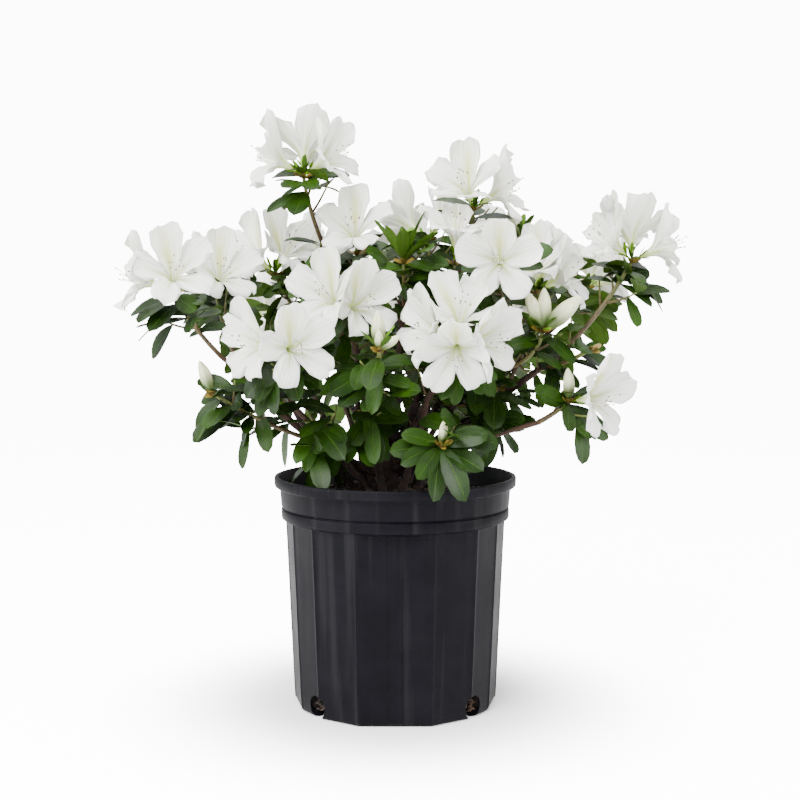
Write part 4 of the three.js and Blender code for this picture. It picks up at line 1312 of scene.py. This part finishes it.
def ball_template(sides, rings, up):
    """A ball of radius 1, mapped by its first axis and by the axis whose number is given."""
    made = bmesh.new()
    bmesh.ops.create_uvsphere(made, u_segments=sides, v_segments=rings, radius=1)
    done = Template(made)
    done.map = done.points[:, [0, up]] * 0.5 + 0.5
    return done


def bend_rod(template, curve, radius_at):
    """A rod template laid along a curve, with its radius from a rule of its share along."""
    share = template.points[:, 2]
    heading = curve.heading(share)
    over = np.cross(heading, curve.normal)
    radius = radius_at(share)[:, None]
    flat = template.points[:, 0, None] * curve.normal + template.points[:, 1, None] * over
    return curve.at(share) + flat * radius


def placed(local, place, across, over, axis):
    """Points given along three directions, set at a place."""
    return place + local[:, 0:1] * across + local[:, 1:2] * over + local[:, 2:3] * axis


def in_frame(template, place, axis, scales):
    """A template turned to an axis, stretched by scales and set at a place."""
    return placed(template.points * scales, place, *square(axis), axis)


thread_template, stalk_template = rod_template(4, 5), rod_template(6, 6)
bead_template, spindle_template = ball_template(8, 6, 1), ball_template(20, 12, 2)
print("faces of a thread", len(thread_template.totals), "and of a bud", len(spindle_template.totals))

# %% [markdown]
# Curved stamens stand in each throat, with a longer pistil, over a small green calyx. A closed bud
# is a spindle with the spiral ridges of its rolled petals, in green sepals of its own. Golden
# scales sit below each heart, left over from the winter bud that the shoot grew from.

# %% Stamens, calyces, buds and scales
HEART_SEED = 3001
# The numbers of the finishes in the list at the end. A sheet's under side takes the next one.
FILAMENT_LOOK, ANTHER_LOOK, BUD_LOOK, SEPAL_LOOK, SCALE_LOOK = 0, 1, 2, 3, 5
STALK_BEND, STALK_LENGTH, STALK_RADIUS, STALK_SWELL = 5, 11, 1.1, 0.8
STAMENS, STAMEN_RADIUS, STAMEN_PLAY = 7, 0.38, 30
THREAD_START, THREAD_OUT, THREAD_BOW = 14, 1.4, 1.5
THREAD_SPREAD, THREAD_REACH, THREAD_SAG = (3, 8), (44, 55), (1, 6)
PISTIL_SPREAD, PISTIL_REACH = 3, 60
ANTHER_SIZE = (0.65, 0.65, 1.3)
SEPALS, SEPAL_ANGLE, SEPAL_TURN, SEPAL_FOOT = 5, 34, 20, 7
SEPAL_LENGTH, SEPAL_CURL = (10, 15), -0.1
BUD_HALF, BUD_PEAK, BUD_RIDGES, BUD_SPIRAL, BUD_RELIEF, BUD_FOOT = 0.168, 0.396, 5, 4.5, 0.11, 0.04
BUD_RISE, BUD_FALL = 0.6, 0.75
BUD_SEPAL_ANGLE, BUD_SEPAL_SHARE, BUD_SEPAL_CURL = 24, 0.3, -0.25
SCALES, SCALE_ANGLE, SCALE_STEP, SCALE_PLAY, SCALE_DROP = 9, (18, 58), 60, 40, 3
SCALE_LENGTH, SCALE_CURL = (9, 14), -0.1


def add_stamens(heap, shoot, axis, across, over, draw):
    """Thin bowed threads, each with its anther. The last one is the pistil, which is the longest."""
    for k in range(STAMENS + 1):
        turn = math.radians(360 / STAMENS * k + STAMEN_PLAY * draw())
        out = over * math.cos(turn) + across * math.sin(turn)
        spread, reach = mix(*THREAD_SPREAD, draw()), mix(*THREAD_REACH, draw())
        if k == STAMENS:
            spread, reach = PISTIL_SPREAD, PISTIL_REACH
        foot = shoot.heart + axis * THREAD_START + out * THREAD_OUT
        tip = shoot.heart + axis * reach + out * spread + over * -mix(*THREAD_SAG, draw())
        thread = bow_through(foot, (foot + tip) / 2 - out * THREAD_BOW + over * -THREAD_BOW, tip)
        points = bend_rod(thread_template, thread, lambda s: np.full_like(s, STAMEN_RADIUS))
        heap.add(thread_template, points, FILAMENT_LOOK)
        heap.add(bead_template, in_frame(bead_template, tip, axis, ANTHER_SIZE), ANTHER_LOOK)


def add_calyx(heap, shoot, axis, draw):
    """The narrow green sepals that hold a flower's tube."""
    for k in range(SEPALS):
        sepal = aside(axis, SEPAL_ANGLE, 360 / SEPALS * k + SEPAL_TURN)
        root = shoot.heart + axis * SEPAL_FOOT
        leaf = new_leaf(root, sepal, mix(*SEPAL_LENGTH, draw()), SEPAL_CURL, young=True)
        heap.add(leaf_template, leaf_points(leaf, k), SEPAL_LOOK)


def bud_points(heart, axis, length):
    """A closed flower bud: a spindle whose rolled petals show as spiral ridges."""
    across, over = square(axis)
    x, y, z = spindle_template.points.T
    around = np.arctan2(y, x)
    share = np.clip((z + 1) / 2, 0, 1)
    shape = share ** BUD_RISE * (1 - share) ** BUD_FALL / BUD_PEAK
    ridges = 1 + BUD_RELIEF * np.cos(BUD_RIDGES * around + BUD_SPIRAL * share)
    half = length * BUD_HALF * shape * ridges
    place = heart + axis * (length * mix(BUD_FOOT, 1, share))[:, None]
    return place + across * (half * np.cos(around))[:, None] + over * (half * np.sin(around))[:, None]


def add_bud(heap, shoot, axis, length):
    heap.add(spindle_template, bud_points(shoot.heart, axis, length), BUD_LOOK)
    for k in range(SEPALS):
        sepal = aside(axis, BUD_SEPAL_ANGLE, 360 / SEPALS * k)
        leaf = new_leaf(shoot.heart + axis, sepal, length * BUD_SEPAL_SHARE, BUD_SEPAL_CURL, young=True)
        heap.add(leaf_template, leaf_points(leaf, k), SEPAL_LOOK)


def add_scales(heap, shoot, draw):
    for k in range(SCALES):
        scale = aside(shoot.lean, mix(*SCALE_ANGLE, draw()), SCALE_STEP * k + SCALE_PLAY * draw())
        foot = shoot.heart - shoot.lean * SCALE_DROP
        leaf = new_leaf(foot, scale, mix(*SCALE_LENGTH, draw()), SCALE_CURL)
        heap.add(leaf_template, leaf_points(leaf, k), SCALE_LOOK)


for block, members in blocks.items():
    heap = Heap()
    for shoot in members:
        draw = seeded(HEART_SEED + shoots.index(shoot))
        for index, axis in enumerate(shoot.blooms):
            across, over = flower_frame(axis, index)
            stalk = Bow(shoot.heart, shoot.heart + axis * STALK_BEND, shoot.heart + axis * STALK_LENGTH)
            points = bend_rod(stalk_template, stalk, lambda s: STALK_RADIUS + STALK_SWELL * s ** 3)
            heap.add(stalk_template, points, SEPAL_LOOK)
            add_stamens(heap, shoot, axis, across, over, draw)
            add_calyx(heap, shoot, axis, draw)
        for axis, length in shoot.buds:
            add_bud(heap, shoot, axis, length)
        add_scales(heap, shoot, draw)
    finishes = [filament, anther, bud_petal, leaf_young, leaf_young, bud_scale, bud_scale]
    piece = heap.finish("hearts_" + block, finishes)
    dress(piece)

# %% [markdown]
# This year's stems are smooth and olive to red-brown, and the older wood below is dark and rough.
# The young stems are rods bent along their curves. The old wood gets its relief from a ring-by-ring
# rule: long ridges, knobs where a bough leaves and a flare where the trunk meets the bark mix.

# %% Young stems and twigs
STEM_RADII, TWIG_RADII = (2.7, 2.0), (1.4, 0.9)
KNOB_SIZE = (3.1, 3.1, 3.6)
for block, members in blocks.items():
    heap = Heap()
    for shoot in members:
        heap.add(stalk_template, bend_rod(stalk_template, shoot.curve, lambda s: mix(*STEM_RADII, s)))
        heap.add(bead_template, in_frame(bead_template, shoot.heart, shoot.lean, KNOB_SIZE))
        for twig in shoot.twigs:
            heap.add(stalk_template, bend_rod(stalk_template, twig, lambda s: mix(*TWIG_RADII, s)))
    dress(heap.finish("stems_" + block, [shoot_bark]))

# %% Trunk and boughs
limb_template = rod_template(16, 30)
TRUNK_RADII = (13, 8.4)
ROOT_FLARE, ROOT_LOBES, ROOT_RIDGES = 5, 0.3, 0.15
COLLAR, COLLAR_LENGTH = 0.7, 9
LONG_RIDGES, FINE_RIDGES = 0.05, 0.03
LUMPS, LUMP_SCALE, SMALL_LUMP_SCALE = 0.13, 0.09, 0.3
TRUNK_OFFSET = -6
SUCKER_RADII, SUCKER_DEPTH = (3.6, 2.6), 6
SUCKER_BOW, SUCKER_LIFT = 5, (0, 0, 4)
# Younger stems that rise from the mix beside the trunk: the bough each one reaches, the turn and
# distance of its foot from the trunk, and how far along the bough it ends.
SUCKERS = (
    ("bough_left", -60, 34, 0.75), ("bough_left_front", -35, 26, 0.6),
    ("bough_centre_left", -10, 30, 0.8), ("bough_centre_front", 25, 27, 0.7),
    ("bough_right_mid", 60, 31, 0.6), ("bough_right", 85, 38, 0.5),
    ("bough_top_left", -100, 25, 0.45), ("bough_top_right", 110, 28, 0.5),
    ("bough_back_left", -150, 30, 0.6), ("bough_back_right", 150, 32, 0.6), ("bough_back", 180, 27, 0.6),
)


def lump(point):
    """Large and small lumps of old bark, from noise that never changes."""
    return noise.noise(point * LUMP_SCALE) + 0.5 * noise.noise(point * SMALL_LUMP_SCALE)


def limb_points(name, curve, radii):
    """A limb with long ridges and small lumps, and a collar where it leaves its parent."""
    share = limb_template.points[:, 2]
    around = np.arctan2(limb_template.points[:, 1], limb_template.points[:, 0])
    points = bend_rod(limb_template, curve, np.ones_like)
    middle = curve.at(share)
    outward = points - middle
    rim = np.linalg.norm(outward, axis=1) > 0.5
    radius = mix(*radii, share)
    if name == "trunk":
        lobes = 1 + ROOT_LOBES * np.cos(3 * around + 0.7) + ROOT_RIDGES * np.cos(7 * around)
        radius = radius + ROOT_FLARE * (1 - share) ** 4 * lobes
    else:
        length = np.linalg.norm(curve.end - curve.start)
        radius = radius * (1 + COLLAR * np.exp(-share * length / COLLAR_LENGTH))
    ridges = LONG_RIDGES * np.cos(5 * around + 3 * share) + FINE_RIDGES * np.cos(9 * around - 2 * share)
    lumps = np.array([lump(Vector(point)) for point in points])
    radius = radius * (1 + ridges + LUMPS * lumps)
    return middle + outward * (radius * rim)[:, None]


heap = Heap()
heap.add(limb_template, limb_points("trunk", curves["trunk"], TRUNK_RADII))
for name, (_, _, _, _, ends) in LIMBS.items():
    heap.add(limb_template, limb_points(name, curves[name], ends))
for name, turn, out, share in SUCKERS:
    foot = way(turn, 0) * out + (TRUNK_OFFSET, 0, SOIL_TOP - SUCKER_DEPTH)
    tip = curves[name].at(share)
    via = (foot + tip) / 2 + way(turn, 0) * SUCKER_BOW + SUCKER_LIFT
    heap.add(limb_template, limb_points(name, bow_through(foot, via, tip), SUCKER_RADII))
dress(heap.finish("old_wood", [bark]), ["trunk", *LIMBS])

# %% [markdown]
# The pot is a thin nursery pot, injection moulded in black plastic. Its wall tapers so that pots
# stack, and has flat panels that stiffen it, between a plain foot and round rings at the top.
# A profile is spun about the axis, as on a potter's wheel, and the rays are then drawn onto the
# panels' flat faces. The drain holes low on the wall are cut through afterwards.

# %% The pot's profile and panels
PANEL_EDGES = (-20.3, 20.3, 46, 65, 90, 115, 134, 159.7, 200.3, 226, 245, 270, 295, 314, 339.7)
RAY_STEP = 1.7
BEAD_HALF, BEAD_PROUD, BEAD_LEAST_RADIUS = 0.45, 0.5, 105.5
# A flat strip runs up the middle of the front panel.
STRIP_EDGES = (-3.6, 3.6)
STRIP_PROUD, STRIP_FOOT, STRIP_TOP = 0.4, 3, 194
ON_AXIS = 0.01
# Each point is a radius and a height, and how flat the panels are there: 1 is flat, 0 is round.
POT_OUTSIDE = (
    (0, 2.2, 1), (93, 2.2, 1), (96, 0, 1), (100.5, 0, 1), (104.6, 1.2, 1), (106.3, 3.6, 1), (107.2, 20, 1),
    (109.9, 78, 1), (112.4, 136, 1), (115.0, 193.6, 1), (115.6, 195.6, 0.6), (117.6, 196.8, 0.2),
    (119.2, 197.6, 0), (119.7, 199, 0), (119.8, 206.2, 0), (119.3, 207.5, 0), (118.0, 208.2, 0),
    (117.7, 208.9, 0), (118.2, 209.6, 0), (119.7, 210.2, 0), (120.0, 212, 0), (121.0, 226, 0),
    (121.4, 229, 0), (122.4, 230.2, 0), (125.4, 230.6, 0), (126.5, 231.4, 0), (126.9, 233, 0),
    (127.0, 239.4, 0), (126.5, 240.6, 0), (125.4, 241, 0),
)
POT_INSIDE = (
    (123.6, 241, 0), (122.7, 240.5, 0), (122.4, 239.2, 0), (120.6, 231.5, 0), (119.5, 228, 0),
    (117.5, 214, 0), (116.4, 211.6, 0), (115.8, 208.6, 0), (113.4, 195, 1), (110.7, 136, 1), (105.3, 10, 1),
    (103.7, 5.6, 1), (97, 4.4, 1), (0, 4.4, 1),
)


def panel_rays():
    """The turn of each ray in degrees, and how far its flat panel draws it in."""
    rays = []
    for start, end in zip(PANEL_EDGES, PANEL_EDGES[1:]):
        stops = [start, start + BEAD_HALF, end - BEAD_HALF, end]
        for edge in STRIP_EDGES:
            if start < edge < end:
                stops += [edge - BEAD_HALF, edge, edge + BEAD_HALF]
        stops.sort()
        middle, half = (start + end) / 2, (end - start) / 2
        for low, high in zip(stops, stops[1:]):
            count = max(1, round((high - low) / RAY_STEP))
            for step in range(count):
                turn = mix(low, high, step / count)
                flat = math.cos(math.radians(half)) / math.cos(math.radians(turn - middle))
                rays.append((turn, flat))
    return rays


POT_RAYS = panel_rays()


def bead(turn):
    """The fine raised line that the mould leaves at a panel's or the strip's edge."""
    nearest = min(abs((turn - edge + 180) % 360 - 180) for edge in PANEL_EDGES + STRIP_EDGES)
    return BEAD_PROUD if nearest < BEAD_HALF / 2 else 0.0


def spun(profile):
    """A profile of radius, height and flatness, spun about the axis onto the pot's rays."""
    made = bmesh.new()
    chain = [made.verts.new((radius, 0, height)) for radius, height, _ in profile]
    edges = [made.edges.new(pair) for pair in zip(chain, chain[1:])]
    profile_points = np.array(profile, float)
    bmesh.ops.spin(
        made, geom=chain + edges, cent=(0, 0, 0), axis=(0, 0, 1), dvec=(0, 0, 0),
        angle=2 * math.pi, steps=len(POT_RAYS), use_merge=True, use_duplicate=False,
    )
    bmesh.ops.remove_doubles(made, verts=made.verts, dist=WELD)
    for vertex in made.verts:
        x, y, z = vertex.co
        radius = math.hypot(x, y)
        if radius < ON_AXIS:
            continue
        index = round(math.atan2(y, x) / (2 * math.pi) * len(POT_RAYS)) % len(POT_RAYS)
        turn, drawn_in = POT_RAYS[index]
        nearest = np.hypot(profile_points[:, 0] - radius, profile_points[:, 1] - z).argmin()
        flat = profile_points[nearest, 2]
        proud = bead(turn) * (flat == 1) * (radius > BEAD_LEAST_RADIUS)
        reach = radius * mix(1, drawn_in, flat) + proud
        vertex.co = Vector(way(turn, 0) * reach) + Vector((0, 0, z))
    return made


def object_from(made, name, materials, smooth_below):
    """Turns a millimetre bmesh into a shaded object in metres."""
    bmesh.ops.scale(made, verts=made.verts, vec=(MM, MM, MM))
    bmesh.ops.recalc_face_normals(made, faces=made.faces)
    mesh = bpy.data.meshes.new(name)
    made.to_mesh(mesh)
    made.free()
    for material in materials:
        mesh.materials.append(material)
    done = bpy.data.objects.new(name, mesh)
    bpy.context.collection.objects.link(done)
    mesh.shade_smooth()
    mesh.set_sharp_from_angle(angle=math.radians(smooth_below))
    return done


print(len(POT_RAYS), "rays,", len(POT_OUTSIDE + POT_INSIDE), "points in the profile")

# %% [markdown]
# Moulded plastic is never quite even. It has cloudy tones, long streaks where it flowed up the
# mould, a slight waviness that bends its highlights, a fine grain and a film of dust.

# %% Finish of the pot
PLASTIC_LOW, PLASTIC_HIGH = (0.002, 0.0019, 0.0032, 1), (0.0036, 0.0034, 0.0052, 1)
PLASTIC_GLOSS, PLASTIC_ROUGHNESS = 0.05, 0.46
SMOOTHEST, WEAR = 0.42, 0.07
DUST = (0.014, 0.0135, 0.015, 1)
DUST_SHARE, STREAK_SHARE = 0.25, 0.5
STREAK_STRETCH, WAVE_STRETCH = (1.0, 1.0, 0.012), (1.0, 1.0, 0.25)
GRAIN_SHARE = 0.05
pot_plastic, tree, shader = plain_finish("pot_plastic", PLASTIC_ROUGHNESS, Specular_IOR_Level=PLASTIC_GLOSS)
place = own_place(tree)
feeds = {"Place": place, "Scale": 28, "Low": PLASTIC_LOW, "High": PLASTIC_HIGH}
tone = use_group(tree, mottle_group, feeds)
streaks = soften(tree, noise_node(tree, place, 75.0, 4.0, STREAK_STRETCH), 0.5, 0.72)
streaked = blend_colors(tree, maths(tree, "MULTIPLY", streaks, STREAK_SHARE), tone["Color"], DUST)
dust = add(tree, "ShaderNodeTexNoise", {"Vector": place, "Scale": 9.0, "Detail": 7.0, "Roughness": 0.62})
dust_share = maths(tree, "MULTIPLY", soften(tree, dust.outputs["Fac"], 0.52, 0.8), DUST_SHARE)
tree.links.new(blend_colors(tree, dust_share, streaked, DUST), shader.inputs["Base Color"])
worn = maths(tree, "ADD", maths(tree, "MULTIPLY", tone["Mask"], WEAR), SMOOTHEST)
tree.links.new(worn, shader.inputs["Roughness"])
waves = noise_node(tree, place, 34.0, 3.0, WAVE_STRETCH)
grain = maths(tree, "MULTIPLY", noise_node(tree, place, 1400.0, 2.0), GRAIN_SHARE)
bump(tree, shader, maths(tree, "ADD", waves, grain), 1.2, 0.35)
print("pot finish:", len(tree.nodes), "nodes")

# %% The pot
DRAIN_TURNS = (-49, 49, -131, 131)
DRAIN_RADIUS, DRAIN_SIDES, DRAIN_DEPTH = 12, 28, 40
DRAIN_RISE = DRAIN_RADIUS - 0.5
FOOT_RADIUS, WALL_RADIUS, WALL_HEIGHT = 106.6, 115.2, 196
WALL_SLACK, TURN_SLACK = 1.2, 0.1
POT_EDGE, DRILL_EDGE = 32, 30
pot_shape = spun(POT_OUTSIDE + POT_INSIDE)
for vertex in pot_shape.verts:
    x, y, z = vertex.co
    on_strip = abs(math.degrees(math.atan2(x, -y))) < STRIP_EDGES[1] + TURN_SLACK
    panel = mix(FOOT_RADIUS, WALL_RADIUS, z / WALL_HEIGHT) * math.cos(math.radians(PANEL_EDGES[1]))
    if on_strip and STRIP_FOOT < z < STRIP_TOP and -y > panel - WALL_SLACK:
        vertex.co.y -= STRIP_PROUD
pot = object_from(pot_shape, "nursery_pot", [pot_plastic], POT_EDGE)

drills = bmesh.new()
for turn in DRAIN_TURNS:
    centre = way(turn, 0) * FOOT_RADIUS + (0, 0, DRAIN_RISE)
    lay_flat = Vector(way(turn, 0)).to_track_quat("Z", "Y").to_matrix().to_4x4()
    bmesh.ops.create_cone(
        drills, cap_ends=True, segments=DRAIN_SIDES, radius1=DRAIN_RADIUS, radius2=DRAIN_RADIUS,
        depth=DRAIN_DEPTH, matrix=Matrix.Translation(centre) @ lay_flat,
    )
drill = object_from(drills, "drain_drill", [pot_plastic], DRILL_EDGE)
cut = pot.modifiers.new("drain_holes", "BOOLEAN")
cut.operation = "DIFFERENCE"
cut.object = drill
cut.solver = "EXACT"
bpy.context.view_layer.update()
ready = pot.evaluated_get(bpy.context.evaluated_depsgraph_get())
cut_mesh = bpy.data.meshes.new_from_object(ready)
pot.modifiers.clear()
pot.data = cut_mesh
bpy.data.objects.remove(drill)
cut_mesh.set_sharp_from_angle(angle=math.radians(POT_EDGE))
dress(pot, ["pot"])
print("pot:", len(cut_mesh.polygons), "faces")

# %% [markdown]
# The bark mix is composted pine bark. Its bulk is one spun fill with an uneven top, hollowed a
# little behind the drain holes. A few hundred loose chips lie on it and in the holes, each a lump of
# bark squashed flat and turned its own way.

# %% Finishes of the bark mix
CRUMB_DARK, CRUMB_LIGHT = (0.004, 0.0022, 0.0015, 1), (0.016, 0.008, 0.005, 1)
CHIP_DARK, CHIP_LIGHT = (0.008, 0.004, 0.0025, 1), (0.05, 0.026, 0.014, 1)


def crumbly_finish(name, roughness, scale, low, high, relief):
    made, tree, shader = plain_finish(name, roughness)
    feeds = {"Place": own_place(tree), "Scale": scale, "Low": low, "High": high}
    tone = use_group(tree, mottle_group, feeds)
    tree.links.new(tone["Color"], shader.inputs["Base Color"])
    bump(tree, shader, tone["Mask"], relief)
    return made


mix_finish = crumbly_finish("bark_mix", 0.95, 160, CRUMB_DARK, CRUMB_LIGHT, 2.0)
chip_finish = crumbly_finish("bark_chip", 0.9, 70, CHIP_DARK, CHIP_LIGHT, 0.8)
print("bark mix finish:", len(mix_finish.node_tree.nodes), "nodes")

# %% The fill of bark mix
SOIL_SURFACE = ((0, SOIL_TOP), (34, SOIL_TOP), (62, 225), (90, 221), (108, 218), (116, SOIL_EDGE))
SOIL_UNDERSIDE = (
    (116.4, SOIL_EDGE, 0), (115.2, 209, 0), (112.9, 195, 1), (110.2, 136, 1), (105.7, 30, 1),
    (105.4, 25, 1), (105.2, 18, 1), (104.8, 11, 1), (103.1, 6.4, 1), (97, 5, 1), (0, 5, 1),
)
ROUGH_ABOVE, ROUGH_WITHIN = 216, 114
ROUGH_HEIGHTS, ROUGH_SCALES = (1.6, 0.8), (0.07, 0.25)
HOLLOW_HALF, HOLLOW_DEPTH, HOLLOW_HEIGHTS = 7.5, 8, (6, 26)
FILL_EDGE = 80
soil_top = tuple((radius, height, 0) for radius, height in SOIL_SURFACE[:-1])
fill = spun(soil_top + SOIL_UNDERSIDE)
for vertex in fill.verts:
    radius = math.hypot(vertex.co.x, vertex.co.y)
    if vertex.co.z > ROUGH_ABOVE and radius < ROUGH_WITHIN:
        coarse, fine = (noise.noise(vertex.co * scale) for scale in ROUGH_SCALES)
        vertex.co.z += ROUGH_HEIGHTS[0] * coarse + ROUGH_HEIGHTS[1] * fine
    turn = math.degrees(math.atan2(vertex.co.x, -vertex.co.y))
    at_drain = min(abs(turn - drain) for drain in DRAIN_TURNS) < HOLLOW_HALF
    if HOLLOW_HEIGHTS[0] < vertex.co.z < HOLLOW_HEIGHTS[1] and at_drain:
        vertex.co.xy *= 1 - HOLLOW_DEPTH / radius
mix_body = object_from(fill, "bark_mix_fill", [mix_finish], FILL_EDGE)
dress(mix_body, ["potting_mix"])
print("bark mix:", len(mix_body.data.polygons), "faces")

# %% Loose bark chips
CHIPS, CHIP_SEED = 520, 4001
CHIP_REACH, BARE_MIDDLE, CHIP_LIFT = 111, 20, 0.6
CHIP_RISES = (48, 90)
CHIP_LENGTHS, CHIP_WIDTHS, CHIP_HEIGHTS = (2.2, 6.5), (1.6, 4.0), (0.8, 1.9)
BUMP_WAVES, BUMP_HEIGHT, BUMP_PHASES = np.array([3.1, 4.3, 5.7]), 0.35, 9
HOLE_CHIPS, HOLE_SPREAD, HOLE_DEPTH, HOLE_HEIGHTS = 14, (-5.5, 5.5), 9.5, (6, 22)
made = bmesh.new()
bmesh.ops.create_icosphere(made, subdivisions=1, radius=1)
chip_template = Template(made)
chip_template.map = chip_template.points[:, :2] * 0.5 + 0.5


def chip_points(centre, draw):
    """A flat lump of bark, tipped a little and lying nearly level."""
    axis = way(360 * draw(), mix(*CHIP_RISES, draw()))
    sizes = np.array([mix(*span, draw()) for span in (CHIP_LENGTHS, CHIP_WIDTHS, CHIP_HEIGHTS)])
    across, over = square(axis)
    spin = 360 * draw()
    across, over = turned(across, axis, spin), turned(over, axis, spin)
    bumps = 1 + BUMP_HEIGHT * np.sin(chip_template.points @ BUMP_WAVES + BUMP_PHASES * draw())
    return placed(chip_template.points * bumps[:, None] * sizes, centre, across, over, axis)


def soil_height(radius):
    return float(np.interp(radius, *zip(*SOIL_SURFACE)))


draw = seeded(CHIP_SEED)
heap = Heap()
for _ in range(CHIPS):
    radius, turn = CHIP_REACH * math.sqrt(draw()), 360 * draw()
    if radius < BARE_MIDDLE:
        continue
    centre = way(turn, 0) * radius + (0, 0, soil_height(radius) + CHIP_LIFT)
    heap.add(chip_template, chip_points(centre, draw))
for turn in DRAIN_TURNS:
    for _ in range(HOLE_CHIPS):
        centre = way(turn + mix(*HOLE_SPREAD, draw()), 0) * (FOOT_RADIUS - HOLE_DEPTH)
        centre = centre + (0, 0, mix(*HOLE_HEIGHTS, draw()))
        heap.add(chip_template, chip_points(centre, draw))
dress(heap.finish("bark_chips", [chip_finish]))
